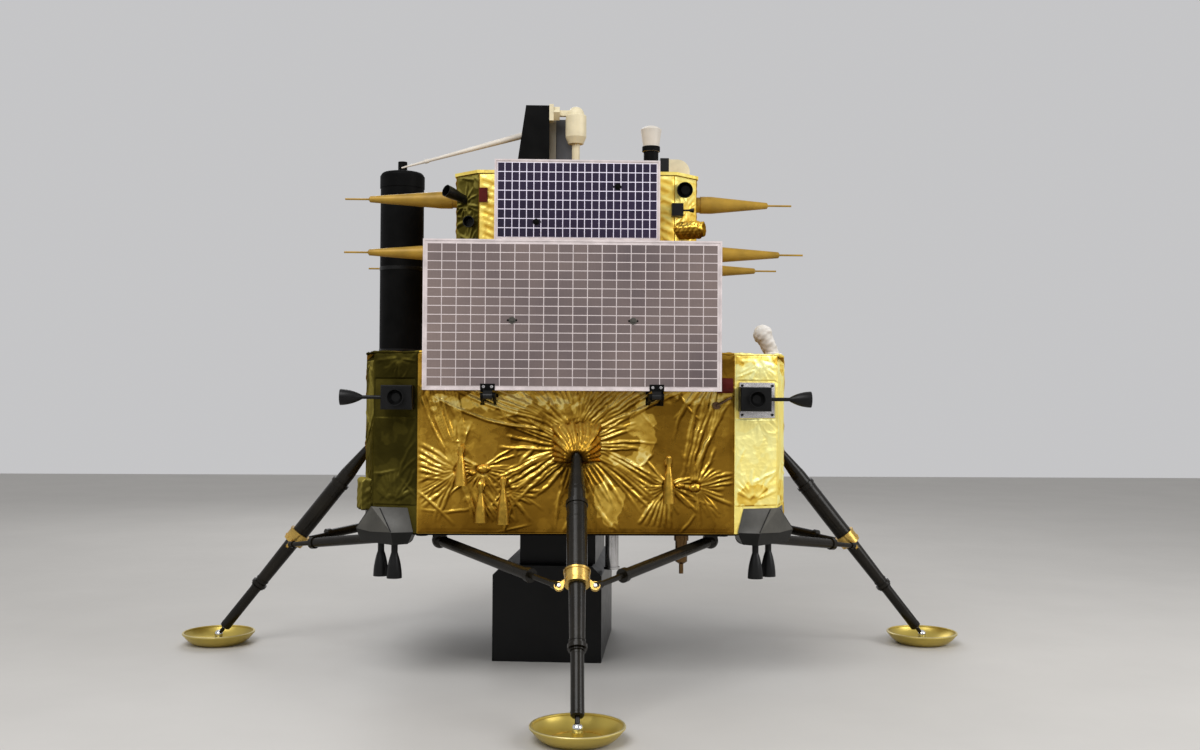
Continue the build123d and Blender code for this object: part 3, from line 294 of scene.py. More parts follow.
def split(name, first, second, axis, place, metallic=0.0, rough=(0.3, 0.45), specular=0.3):
    """Finish of a node in two colours: the second one beyond a place on an axis."""
    satin(name, first, metallic, rough, 22.0, 0.18, specular=specular)
    tree = MATERIALS[name].node_tree
    base = tree.nodes["Principled BSDF"].inputs["Base Color"]
    parts = node(tree, "ShaderNodeSeparateXYZ", places(tree))
    beyond = node(tree, "ShaderNodeMath", parts.outputs[axis], place, operation="GREATER_THAN")
    mix = node(tree, "ShaderNodeMix", data_type="RGBA", Factor=beyond.outputs["Value"])
    tree.links.new(base.links[0].from_socket, mix.inputs[6])
    tree.links.new(ramp(tree, grain(tree, 26.0), ((0.3, shade(second, 0.85)), (0.7, shade(second, 1.15)))),
                   mix.inputs[7])
    tree.links.new(mix.outputs[2], base)


def make_foils():
    """Foils and cloth. Their tones run from the folds' painted shade to the painted light on their crests."""
    gold = ((0.05, (0.038, 0.017, 0.002)), (0.24, (0.128, 0.058, 0.005)), (0.45, (0.300, 0.156, 0.016)),
            (0.62, (0.510, 0.292, 0.035)), (0.80, (0.800, 0.530, 0.092)), (0.98, (0.970, 0.770, 0.260)))
    # olive: tones of the gold foil in painted shade
    olive = ((0.08, (0.008, 0.006, 0.001)), (0.42, (0.032, 0.026, 0.005)), (0.66, (0.085, 0.068, 0.012)),
             (0.95, (0.360, 0.300, 0.070)))
    # bright: tones of the gold foil in painted light
    bright = ((0.05, (0.300, 0.140, 0.014)), (0.28, (0.760, 0.490, 0.065)), (0.50, (0.980, 0.800, 0.210)),
              (0.90, (1.0, 0.970, 0.440)))
    warm = ((0.05, (0.280, 0.115, 0.010)), (0.28, (0.800, 0.460, 0.048)), (0.50, (1.0, 0.720, 0.135)),
            (0.90, (1.0, 0.880, 0.280)))
    white = ((0.10, (0.36, 0.34, 0.31)), (0.45, (0.62, 0.58, 0.53)), (0.90, (0.80, 0.77, 0.73)))
    # finish, tones, roughness, metallic
    foil("gold_foil", gold, (0.2, 0.38), 0.7)
    foil("plain_foil", gold, (0.24, 0.42), 0.6, plain=True)
    for name, plain in (("olive_foil", False), ("plain_olive", True)):
        foil(name, olive, (0.34, 0.48), 0.4, plain=plain, edge=(0.22, 0.17, 0.04))
    foil("bright_foil", bright, (0.24, 0.4), 0.35, edge=(0.9, 0.72, 0.25))
    foil("plain_bright", bright, (0.3, 0.45), 0.4, plain=True)
    foil("warm_foil", warm, (0.24, 0.4), 0.3, edge=(0.9, 0.65, 0.2))
    foil("white_wrap", white, (0.45, 0.6), 0.0, 0.002, edge=(0.9, 0.9, 0.9))


def make_metals(paint):
    """Bare, gilded and sheet metals."""
    # finish, colour, metallic, roughness, grain per metre, change of tone, bump, specular
    satin("gold_metal", paint.gold, 0.85, (0.2, 0.36), 24.0, 0.25)
    satin("bell_gold", (0.50, 0.295, 0.040), 0.85, (0.24, 0.4), 40.0, 0.4, 0.0014, 0.1)
    satin("pad_gold", (0.52, 0.395, 0.082), 0.6, (0.28, 0.42), 9.0, 0.18)
    satin("pad_lip", (0.62, 0.52, 0.22), 0.6, (0.25, 0.4), 20.0, 0.15)
    satin("grey_sheet", (0.085, 0.081, 0.070), 0.15, (0.34, 0.5), 11.0, 0.4, 0.0012, 0.25)
    satin("ball_chrome", (0.72, 0.73, 0.74), 1.0, (0.05, 0.12), 40.0, 0.08, 0.0001)
    satin("silver_metal", (0.58, 0.56, 0.56), 0.9, (0.18, 0.34), 22.0, 0.2, 0.0003, stretch=(1, 1, 6))
    satin("bronze", (0.10, 0.055, 0.025), 0.7, (0.25, 0.4), 30.0, 0.35)


def make_paints(paint):
    """Blacks, creams, whites and the other paints."""
    # finish, colour, metallic, roughness, grain per metre, change of tone, bump, specular
    satin("black_tube", (0.010, 0.008, 0.005), 0.0, (0.18, 0.32), 18.0, 0.4, 0.0002, 0.22)
    satin("black_paint", DARK, 0.0, (0.42, 0.6), 16.0, 0.4, specular=0.04)
    satin("black_bell", DARK, 0.0, (0.30, 0.46), 26.0, 0.5, 0.0006, 0.22)
    satin("stand_black", (0.005, 0.005, 0.0052), 0.0, (0.24, 0.4), 5.0, 0.35, 0.0003, 0.16)
    satin("red_paint", (0.085, 0.009, 0.008), 0.0, (0.32, 0.46), 24.0, 0.3, 0.0003, 0.1)
    satin("cream_paint", paint.cream, 0.0, (0.34, 0.48), 20.0, 0.12, specular=0.3)
    satin("white_paint", (0.66, 0.61, 0.54), 0.0, (0.36, 0.5), 20.0, 0.10, specular=0.3)
    satin("boom_yellow", paint.boom, 0.1, (0.32, 0.48), 16.0, 0.25, 0.0008, 0.25)
    satin("panel_frame", paint.line, 0.0, (0.36, 0.5), 30.0, 0.06, specular=0.3)
    satin("cool_lines", paint.cool_line, 0.0, (0.36, 0.5), 30.0, 0.06, specular=0.3)


def make_panel_finishes(paint):
    """The cells, and the panels' nodes: dark knuckles below a pale frame."""
    cells("cells", (0.112, 0.088, 0.094), (0.300, 0.230, 0.206), (0.24, 0.36))
    cells("dark_cells", (0.004, 0.002, 0.012), (0.034, 0.023, 0.058), (0.2, 0.32))
    for name, panel in (("big_frame", "solar_panel_front"), ("small_frame", "ascent_panel_front")):
        split(name, DARK, paint.line, "Z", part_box(panel)[0].z + PANEL_FOOT + 0.0005)


def make_split_finishes(paint):
    """Nodes that hold two colours."""
    between_pipe_and_probe = 0.23
    rail_side = -0.0690
    fin_in = 0.0935
    bracket_hem = 0.0035
    split("fittings", (0.55, 0.54, 0.54), (0.13, 0.072, 0.026), "X", between_pipe_and_probe, 0.85,
          (0.16, 0.3), 0.5)
    split("rail", (0.30, 0.27, 0.21), (0.072, 0.074, 0.082), "X", rail_side)
    split("fin", DARK, paint.cream, "X", STAGE_HIGH.x - fin_in)
    split("bracket", (0.010, 0.010, 0.009), (0.082, 0.080, 0.074), "Z", BELLY_Z + bracket_hem, 0.15,
          (0.34, 0.5), 0.2)


# Meshes

def meshed(name, bm):
    """Turn a bmesh into a mesh, and free it."""
    mesh = bpy.data.meshes.new(name)
    bm.to_mesh(mesh)
    bm.free()
    return mesh


def added(name, data):
    """New object in the scene."""
    made = bpy.data.objects.new(name, data)
    bpy.context.scene.collection.objects.link(made)
    return made


def piece(name, bm, finishes, body="lander", sharp=32.0, closed=True):
    """Turn a bmesh into a finished piece that rides on a body."""
    bmesh.ops.remove_doubles(bm, verts=bm.verts, dist=1e-6)
    if closed:
        bmesh.ops.recalc_face_normals(bm, faces=bm.faces)
    limit = math.radians(sharp)
    for edge in bm.edges:
        edge.smooth = len(edge.link_faces) != 2 or edge.calc_face_angle(0.0) < limit
    for face in bm.faces:
        face.smooth = True
    made = added(name, meshed(name, bm))
    for finish in finishes:
        made.data.materials.append(MATERIALS[finish])
    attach(made, body)
    return made


def skin(name, bm, finishes):
    """Finished piece of the lander's body, smooth all over, whose faces keep the way they turn."""
    return piece(name, bm, finishes, sharp=180, closed=False)


def join(bm, part, matrix):
    """Add a small bmesh, moved by a matrix, to a larger one."""
    bmesh.ops.transform(part, matrix=matrix, verts=part.verts)
    mesh = meshed("part", part)
    bm.from_mesh(mesh)
    bpy.data.meshes.remove(mesh)


def turned_by(degrees):
    return Matrix.Rotation(math.radians(degrees), 4, "Z")


def standing(start, direction):
    """Matrix that stands a piece made on +Z at a place, pointing in a direction."""
    turn = UP.rotation_difference(Vector(direction).normalized())
    return Matrix.Translation(Vector(start)) @ turn.to_matrix().to_4x4()


def looking(place, way):
    """Matrix of a lamp or camera at a place that looks a way."""
    return Matrix.Translation(Vector(place)) @ way.to_track_quat("-Z", "Y").to_matrix().to_4x4()


def wall_matrix(start, outward):
    """Frame of an upright wall: x across, y up, z outwards."""
    outward = Vector(outward).normalized()
    across = UP.cross(outward).normalized()
    matrix = Matrix((across, outward.cross(across), outward)).transposed().to_4x4()
    matrix.translation = Vector(start)
    return matrix


def side_matrix(degrees, away, foot):
    """Frame of a wall that stands away from the middle, turned from the front."""
    return turned_by(degrees) @ wall_matrix((0, -away, foot), (0, -1, 0))


def facet(x_sign, y_sign, sideways=False):
    """Ridge of a corner bay, edge from there to the flat side, and outward direction of one facet."""
    ridge = HALF - bpy.context.scene.lander_foil.ridge_in
    corner = Vector((x_sign * ridge, y_sign * ridge, 0))
    end = (HALF, FACE_HALF) if sideways else (FACE_HALF, HALF)
    edge = Vector((x_sign * end[0], y_sign * end[1], 0)) - corner
    out = Vector((edge.y, -edge.x, 0)).normalized()
    return corner, edge, out if out.dot(corner) > 0 else -out


def spun(profile, steps):
    """Closed ring from a closed (radius, height) outline spun about Z."""
    part = bmesh.new()
    verts = [part.verts.new((radius, 0, height)) for radius, height in profile]
    edges = [part.edges.new(pair) for pair in zip(verts, verts[1:] + verts[:1])]
    bmesh.ops.spin(part, geom=verts + edges, cent=(0, 0, 0), axis=UP, angle=math.tau, steps=steps,
                   use_merge=True)
    bmesh.ops.recalc_face_normals(part, faces=part.faces)
    return part


def band(inner, outer, low, high, edge=0.0008, steps=40):
    """Ring with eased edges between two radii and two heights."""
    return spun([(inner, low), (outer - edge, low), (outer, low + edge), (outer, high - edge),
                 (outer - edge, high), (inner, high)], steps)


def eased(part, edges, offset):
    """Round some edges of a bmesh."""
    bmesh.ops.bevel(part, geom=edges, offset=offset, segments=2, profile=0.5, affect="EDGES", material=-1)
    return part


def eased_box(size, edge):
    """Box about the origin with rounded edges."""
    part = bmesh.new()
    bmesh.ops.create_cube(part, size=1.0)
    bmesh.ops.scale(part, vec=Vector(size), verts=part.verts)
    return eased(part, part.edges, edge)


def bolt(radius, height):
    """Six-sided bolt head on the XY plane with its top edge eased."""
    part = bmesh.new()
    bmesh.ops.create_cone(part, cap_ends=True, segments=6, radius1=radius, radius2=radius, depth=height)
    bmesh.ops.translate(part, vec=(0, 0, height / 2), verts=part.verts)
    top = [edge for edge in part.edges if all(vert.co.z > height * 0.9 for vert in edge.verts)]
    return eased(part, top, min(radius, height) * 0.22)


def remeshed(node_name, voxel):
    """Even mesh of a node's surface, as a bmesh."""
    source = bmesh.new()
    source.from_mesh(NODES[node_name].data)
    bmesh.ops.remove_doubles(source, verts=source.verts, dist=1e-6)
    mesh = meshed("shell", source)
    shell = added("shell", mesh)
    modifier = shell.modifiers.new("skin", "REMESH")
    modifier.mode = "VOXEL"
    modifier.voxel_size = voxel
    graph = bpy.context.evaluated_depsgraph_get()
    final = bpy.data.meshes.new_from_object(shell.evaluated_get(graph))
    bm = bmesh.new()
    bm.from_mesh(final)
    bpy.data.objects.remove(shell)
    for left in (mesh, final):
        bpy.data.meshes.remove(left)
    return bm


# Folds

# narrowest crease; strip along a blanket's border where its folds ease in; its tucked edge and how deep that
# is sunk; gap between a blanket and its wall; light that the folds' shading takes, on walls and on tops
FINEST_FOLD = 0.0036
EASE_IN = 0.015
HEM_IN = 0.0012
TUCK = 0.001
CLEAR = 0.0006
WALL_LIGHT = (-0.32, 0.95, 0.0)
TOP_LIGHT = (-0.32, -0.95, 0.0)
# seed of the noise that warps the crumpled pieces' folds, so that they come out the same each time
WARP_SEED = 1


def tri(value):
    """Sharp-edged wave between 0 and 1."""
    return abs(2 * (value - math.floor(value)) - 1)


def pleat(off, width):
    """Rounded crest across a crease: 1 on its line, 0 beyond its half width."""
    crest = np.clip(1 - np.abs(off) / width, 0, 1)
    return crest * (2 - crest)


def straight_crease(field, u, v, middle, half, angle, width, height, bend):
    """Raise a field along one crease, bowed a little between its ends."""
    du, dv = u - middle[0], v - middle[1]
    along = du * math.cos(angle) + dv * math.sin(angle)
    off = dv * math.cos(angle) - du * math.sin(angle) + bend * (along ** 2 - half ** 2)
    fade = np.clip(1 - (along / half) ** 2, 0, 1) ** 0.7
    np.maximum(field, height * pleat(off, width) * fade, out=field)


def star_creases(field, u, v, rng, star, finest):
    """Raise a field along creases that run out from one place."""
    middle_u, middle_v, bare, reach, spokes, first, sweep = star
    du, dv = u - middle_u, v - middle_v
    away = np.hypot(du, dv)
    turn = np.arctan2(dv, du)
    for spoke in range(spokes):
        angle = math.radians(first + sweep * (spoke + rng.uniform(-0.3, 0.3)) / spokes)
        bent = turn - angle - rng.uniform(-1.6, 1.6) * (away - bare)
        long = reach * rng.uniform(0.5, 1.0)
        crest = pleat(away * np.sin(bent), finest * rng.uniform(1.0, 1.9)) * (np.cos(bent) > 0)
        fade = np.clip((away - bare) / 0.010, 0, 1) * np.clip(1 - (away - bare) / long, 0, 1) ** 0.6
        np.maximum(field, rng.uniform(0.6, 1.0) * crest * fade, out=field)


def crease_field(u, v, seed, finest, stars, loose, lines, calm):
    """Height of the foil's creases, 0 to 1, over places on a wall.

    Stars: middle (u, v), bare radius, reach, spokes, first angle and sweep in degrees.
    Lines: start (u, v), end (u, v), height. Calm: middle (u, v) and half sizes of smooth places."""
    rng = np.random.RandomState(seed)
    field = np.zeros_like(u)
    for _ in range(loose):
        middle = (rng.uniform(u.min(), u.max()), rng.uniform(v.min(), v.max()))
        straight_crease(field, u, v, middle, rng.uniform(0.04, 0.13), rng.uniform(0, math.pi),
                        finest * rng.uniform(1.0, 2.0), rng.uniform(0.25, 0.7), rng.uniform(-3, 3))
    for middle_u, middle_v, half_u, half_v in calm:
        away = np.hypot((u - middle_u) / half_u, (v - middle_v) / half_v)
        field *= np.clip((away - 0.75) / 0.35, 0, 1)
    for (start_u, start_v), (end_u, end_v), height in lines:
        middle = ((start_u + end_u) / 2, (start_v + end_v) / 2)
        half = math.hypot(end_u - start_u, end_v - start_v) / 2
        angle = math.atan2(end_v - start_v, end_u - start_u)
        straight_crease(field, u, v, middle, half, angle, finest * rng.uniform(1.4, 2.1), height,
                        rng.uniform(-0.7, 0.7))
    for star in stars:
        star_creases(field, u, v, rng, star, finest)
    return field


def broad_fields(u, v, seed):
    """Slow swell of the foil, 0 to 1, and two rougher fields for its brighter and darker patches of painted
    reflection.
    """
    swell, patch, ragged = np.zeros_like(u), np.zeros_like(u), np.zeros_like(u)
    for index, (x, y) in enumerate(zip(u, v)):
        place = Vector((x * 4.2, y * 4.2, seed * 3.7))
        swell[index] = 0.5 + 0.5 * noise.noise(place)
        patch[index] = noise.noise(place * 1.4 + Vector((0, 0, 11.3)))
        ragged[index] = noise.noise(place * 5.5) + 0.6 * noise.noise(place * 13.0)
    return swell, patch, ragged


def drape(u, v, border, seed, depth, finest, stars=(), loose=18, lines=(), calm=(), calm_low=0.0, flats=(),
          sheens=(), patches=1.0):
    """Heights and tones of a blanket over its wall; border is the distance to its edge.

    Flats: low u, high u, low v, high v. Sheens, painted highlights and painted shade where the change is below
    zero: middle (u, v), half sizes, change of tone."""
    swell, patch, ragged = broad_fields(u, v, seed)
    ease = np.clip(border / EASE_IN, 0, 1)
    # painted reflections: brighter and darker patches with ragged edges, at random places
    edged = patch + 0.30 * ragged
    bright = np.clip((edged - 0.17) / 0.05, 0, 1)
    dark = np.clip((-edged - 0.15) / 0.08, 0, 1)
    tone = patches * (0.20 * bright - 0.12 * dark)
    # painted highlights and painted shade of the sheens
    for middle_u, middle_v, half_u, half_v, change in sheens:
        away = np.hypot((u - middle_u) / half_u, (v - middle_v) / half_v) + 1.1 * ragged
        tone = tone + change * np.clip((1 - away) / 0.10, 0, 1) * (1 - 0.5 * np.abs(ragged))
    # folds calmer and tone darker towards the foot
    if calm_low:
        low = np.clip(v / calm_low, 0, 1)
        ease = ease * (0.3 + 0.7 * low)
        tone = tone - 0.10 * (1 - low)
    # turn and spacing of three broad sets of facets
    facets = sum(np.abs(2 * (((u * math.cos(turn) + v * math.sin(turn) + 0.05 * swell) / spacing) % 1.0) - 1)
                 for turn, spacing in ((0.5, 0.17), (1.7, 0.13), (2.6, 0.21)))
    warped_u = u + 0.0030 * ragged + 0.012 * (swell - 0.5)
    warped_v = v - 0.0030 * ragged + 0.006 * patch
    creases = crease_field(warped_u, warped_v, seed, finest, stars, loose, lines, calm)
    creases = creases * np.clip(0.85 + 0.5 * ragged, 0.35, 1.0)
    # painted highlight along the creases' crests
    tone = tone + 0.16 * creases - 0.05
    height = CLEAR + depth * (0.20 * swell + 0.09 * facets + 0.75 * creases) * ease
    for low_u, high_u, low_v, high_v in flats:
        height[(u > low_u) & (u < high_u) & (v > low_v) & (v < high_v)] = -TUCK
    height[border < HEM_IN] = -TUCK
    return height, tone


def paint_fold_light(part, tones, light, base=0.50, strength=0.40, sharpness=2.6):
    """Write an attribute of painted light and shade: how each place is turned to a fixed light, and its own
    painted tone.
    """
    part.normal_update()
    layer = part.verts.layers.float.new("fold")
    light = Vector(light).normalized()
    for vert, tone in zip(part.verts, tones):
        vert[layer] = base + strength * math.tanh(sharpness * vert.normal.dot(light)) + tone


def blanket(bm, matrix, width, tall, seed, depth, step, tone=0.0, strength=0.42, **folds):
    """Foil blanket over one flat wall: x runs across from the middle, y up from the foot, z outwards."""
    part = bmesh.new()
    bmesh.ops.create_grid(part, x_segments=max(4, round(width / step)), y_segments=max(4, round(tall / step)),
                          size=1.0)
    bmesh.ops.scale(part, vec=(width / 2, tall / 2, 1), verts=part.verts)
    bmesh.ops.translate(part, vec=(0, tall / 2, 0), verts=part.verts)
    u, v = np.array([vert.co[:2] for vert in part.verts]).T
    border = np.minimum(width / 2 - np.abs(u), np.minimum(v, tall - v))
    heights, tones = drape(u, v, border, seed, depth, max(FINEST_FOLD, step * 1.15), **folds)
    for vert, height in zip(part.verts, heights):
        vert.co.z = height
    paint_fold_light(part, tones + tone, WALL_LIGHT, strength=strength)
    join(bm, part, matrix)


def top_blanket(name, half, level, planes, step, seed, depth):
    """Foil on a flat top: a square cut by upright planes."""
    bm = bmesh.new()
    steps = round(half * 2 / step)
    bmesh.ops.create_grid(bm, x_segments=steps, y_segments=steps, size=half)
    for corner, out in planes:
        geometry = bm.verts[:] + bm.edges[:] + bm.faces[:]
        bmesh.ops.bisect_plane(bm, geom=geometry, plane_co=corner, plane_no=out, clear_outer=True)
    u, v = np.array([vert.co[:2] for vert in bm.verts]).T
    border = np.minimum(half - np.abs(u), half - np.abs(v))
    for corner, out in planes:
        border = np.minimum(border, (corner.x - u) * out.x + (corner.y - v) * out.y)
    stars = [(x * half * 0.55, y * half * 0.55, 0.02, 0.16, 9, 20, 360) for x, y in CORNERS]
    heights, tones = drape(u, v, border, seed, depth, step * 1.2, stars, 60)
    for vert, height in zip(bm.verts, heights):
        vert.co.z = level + height
    paint_fold_light(bm, tones, TOP_LIGHT)
    skin(name, bm, ["gold_foil"])


def push(bm, distance):
    """Move each vertex along its normal as far as a function of the vertex says."""
    bm.normal_update()
    moves = [vert.normal * distance(vert) for vert in bm.verts]
    for vert, move in zip(bm.verts, moves):
        vert.co += move


def crumple(bm, depth, spacing, seed):
    """Push a closed skin in and out in sharp folds."""
    noise.seed_set(WARP_SEED)
    waves = []
    for index in range(6):
        angle = seed + index * 2.399
        lean = math.sin(seed * 2.3 + index * 1.9)
        way = Vector((math.cos(angle), math.sin(angle), lean)).normalized()
        waves.append((way, spacing / (1 + index * 0.5), index * 0.37, 1 + index * 0.4))

    def distance(vert):
        spot = vert.co + noise.noise_vector(vert.co * 8.0 + Vector((seed, 0, 0))) * 0.02
        height = sum(tri(spot.dot(way) / apart + shift) / weight for way, apart, shift, weight in waves)
        return depth * (height / 3.4 - 0.35)

    push(bm, distance)


def gather(bm, spots, pleats, depth):
    """Fold a skin in pleats that run out from the nearest of some places on upright walls."""
    def distance(vert):
        spot = min(spots, key=lambda place: (vert.co - place).length_squared)
        away = vert.co - spot
        side = away.dot(Vector((-spot.y, spot.x, 0)).normalized())
        wave = math.atan2(away.z, side) * pleats / math.tau + 0.5 * noise.noise(vert.co * 14.0)
        return depth * (tri(wave) - 0.4) * min(1.0, math.hypot(away.z, side) / 0.035)

    push(bm, distance)


def paint_turn_light(bm, tone, shaded_at=(), shade_reach=0.05):
    """Write an attribute of painted light and shade on a closed skin: painted light where it faces up and to the
    left, painted shade round some places.
    """
    bm.normal_update()
    layer = bm.verts.layers.float.new("fold")
    for vert in bm.verts:
        value = 0.46 + tone + 0.32 * math.tanh(1.8 * (vert.normal.z - 0.3 * vert.normal.x))
        for spot in shaded_at:
            value -= 0.7 * math.exp(-((vert.co - spot).length / shade_reach) ** 2)
        vert[layer] = value


# Foil of the body's walls, by places across from a wall's middle and up from the belly

# across, up, bare radius, reach, spokes, first angle, sweep
WALL_STARS = ((0.0, 0.257, 0.062, 0.22, 46, 0, 360), (0.0, 0.30, 0.03, 0.24, 22, 15, 150),
              (0.42, 0.50, 0.015, 0.26, 14, 185, 85), (-0.44, 0.50, 0.01, 0.16, 9, 270, 80))
BELL_STARS = ((0.266, 0.140, 0.010, 0.12, 22, 130, 260), (0.3445, 0.135, 0.010, 0.13, 22, -75, 200),
              (-0.272, 0.186, 0.012, 0.14, 20, 150, 260), (-0.338, 0.186, 0.010, 0.17, 26, 80, 170),
              (-0.205, 0.125, 0.010, 0.11, 16, -130, 200))

# start (across, up), end, count, step from one crease's end to the next
FANS = (((0.345, 0.150), (0.445, 0.385), 8, (-0.0135, 0.003)),
        ((-0.350, 0.200), (-0.450, 0.400), 8, (0.0130, 0.010)),
        ((-0.350, 0.185), (-0.460, 0.250), 5, (0.0, -0.020)),
        ((-0.050, 0.300), (-0.440, 0.410), 6, (0.010, 0.019)),
        ((0.060, 0.255), (0.250, 0.155), 7, (-0.003, -0.016)),
        ((-0.060, 0.245), (-0.240, 0.150), 7, (0.004, -0.017)),
        ((-0.330, 0.150), (-0.290, 0.030), 8, (0.017, 0.0)),
        ((0.230, 0.110), (0.180, 0.030), 6, (0.019, -0.003)),
        ((0.050, 0.340), (0.260, 0.500), 6, (0.024, -0.010)),
        ((-0.020, 0.320), (-0.120, 0.480), 4, (0.022, 0.004)))
# the creases that the right and left walls have too
SIDE_WALL_CREASES = slice(9, 19)

# across, up, half sizes
SMOOTH = ((0.272, 0.235, 0.060, 0.100), (-0.265, 0.285, 0.065, 0.085), (-0.150, 0.285, 0.060, 0.045))

# painted highlights, and painted shade where the change is below zero: across, up, half sizes, change of tone
SHEENS = ((0.195, 0.330, 0.030, 0.110, 0.34), (0.097, 0.095, 0.034, 0.085, 0.34),
          (0.160, 0.215, 0.050, 0.028, 0.28), (-0.270, 0.290, 0.055, 0.075, 0.10),
          (-0.150, 0.290, 0.060, 0.040, -0.16), (0.274, 0.235, 0.055, 0.100, -0.03),
          (-0.240, 0.378, 0.195, 0.026, 0.36), (0.350, 0.400, 0.080, 0.030, 0.24),
          (0.0, 0.185, 0.052, 0.050, -0.20), (-0.360, 0.290, 0.060, 0.040, 0.14),
          (0.080, 0.402, 0.370, 0.026, 0.16))

# across, up, half width, half height
KNOTS = ((-0.333, 0.236, 0.010, 0.018), (-0.275, 0.140, 0.011, 0.015), (-0.211, 0.150, 0.010, 0.016),
         (0.267, 0.206, 0.010, 0.020), (-0.268, 0.187, 0.020, 0.012), (-0.302, 0.176, 0.012, 0.008),
         (0.3445, 0.134, 0.017, 0.012), (0.300, 0.140, 0.014, 0.008))
KNOT_OUT = 0.008
KNOT_HALF_DEEP = 0.0105


# Operators

class LANDER_OT_body_blankets(bpy.types.Operator):
    """Crumpled foil on the lander body's four flat sides and its deck"""
    bl_idname = "lander.body_blankets"
    bl_label = "Body blankets"

    def execute(self, context):
        sizes = context.scene.lander_foil
        creases = [((start[0] + shift[0] * n * 0.4, start[1] + shift[1] * n * 0.4),
                    (end[0] + shift[0] * n, end[1] + shift[1] * n), 1.0 - 0.06 * n)
                   for start, end, number, shift in FANS for n in range(number)]
        for index, (side, quarter) in enumerate(QUARTERS):
            folds = {"stars": WALL_STARS, "loose": 46, "lines": creases[SIDE_WALL_CREASES]}
            # the front and back walls also take sheens, painted highlights and painted shade, and patches of
            # painted reflection
            if side in ("front", "back"):
                folds = {"stars": WALL_STARS + BELL_STARS, "loose": 30, "lines": creases, "calm": SMOOTH,
                         "sheens": SHEENS, "patches": 0.35}
            step = sizes.front_step if side == "front" else sizes.step
            bm = bmesh.new()
            blanket(bm, side_matrix(quarter, HALF, BELLY_Z), FACE_HALF * 2, BODY_TALL, 41 + index,
                    sizes.depth, step, calm_low=0.075, **folds)
            skin(f"body_blanket_{side}", bm, ["gold_foil"])
        self.deck(sizes)
        self.knots()
        self.hem(sizes)
        return {"FINISHED"}

    def deck(self, sizes):
        """Foil on the deck, cut to the body's outline."""
        facets = [facet(*signs, sideways) for signs in CORNERS for sideways in (False, True)]
        planes = [(corner, out) for corner, _, out in facets]
        top_blanket("deck_blanket", HALF, DECK_Z, planes, sizes.deck_step, 31, sizes.depth * 0.9)

    def knots(self):
        """Twists of foil at the heads of the small bells and where the blanket is gathered."""
        bm = bmesh.new()
        for quarter in (0, 180):
            for index, (across, up, half_wide, half_high) in enumerate(KNOTS):
                lump = bmesh.new()
                bmesh.ops.create_icosphere(lump, subdivisions=4, radius=1.0)
                bmesh.ops.scale(lump, vec=(half_wide, KNOT_HALF_DEEP, half_high), verts=lump.verts)
                bmesh.ops.translate(lump, vec=(across, -HALF - KNOT_OUT, BELLY_Z + up), verts=lump.verts)
                crumple(lump, 0.0065, 0.022, 3.1 + index)
                # painted light where each knot faces up
                paint_turn_light(lump, 0.06)
                join(bm, lump, turned_by(quarter))
        skin("foil_knots", bm, ["gold_foil"])

    def hem(self, sizes):
        """Crumpled edge where the walls' foil is folded over the deck."""
        half_wide, half_high, sunk, around = 0.0030, 0.0042, 0.002, 12
        short_of_end = 0.99999
        ridge = HALF - sizes.ridge_in
        plan = [turned_by(quarter) @ Vector((*corner, 0)) for _, quarter in QUARTERS
                for corner in ((-FACE_HALF, -HALF), (FACE_HALF, -HALF), (ridge, -ridge))]
        lengths = [(after - before).length for before, after in zip(plan, plan[1:] + plan[:1])]
        total = sum(lengths)
        bm = bmesh.new()
        bmesh.ops.create_grid(bm, x_segments=round(total / sizes.hem_step), y_segments=around, size=1.0)
        tones = []
        for vert in bm.verts:
            at = (vert.co.x + 1) / 2 * total * short_of_end
            angle = vert.co.y * math.pi
            side = 0
            while at > lengths[side]:
                at -= lengths[side]
                side += 1
            start, end = plan[side], plan[(side + 1) % len(plan)]
            way = (end - start).normalized()
            spot = start + way * at
            swell = 1.0 + 0.9 * noise.noise(spot * 22.0) + 0.5 * noise.noise(spot * 70.0)
            rise = 0.0024 + 0.0022 * noise.noise(spot * 15.0 + Vector((7, 0, 0)))
            out = way.cross(UP) * math.cos(angle) * half_wide
            vert.co = spot + (out + UP * math.sin(angle) * half_high) * swell
            vert.co.z += DECK_Z + rise - sunk
            # painted shade on the hem's left side
            tones.append(-0.16 if spot.x < -FACE_HALF - 0.01 else 0.02)
        bmesh.ops.recalc_face_normals(bm, faces=bm.faces)
        # painted light and shade on the hem's folds
        paint_fold_light(bm, tones, (-0.2, -0.5, 0.85), 0.42, 0.3, 1.5)
        # over the bays, olive foil paints shade on the left and bright foil paints light on the right
        for face in bm.faces:
            middle = face.calc_center_median()
            if min(abs(middle.x), abs(middle.y)) > FACE_HALF - 0.002:
                face.material_index = 1 if middle.x < 0 else 2
        skin("deck_hem", bm, ["gold_foil", "olive_foil", "bright_foil"])


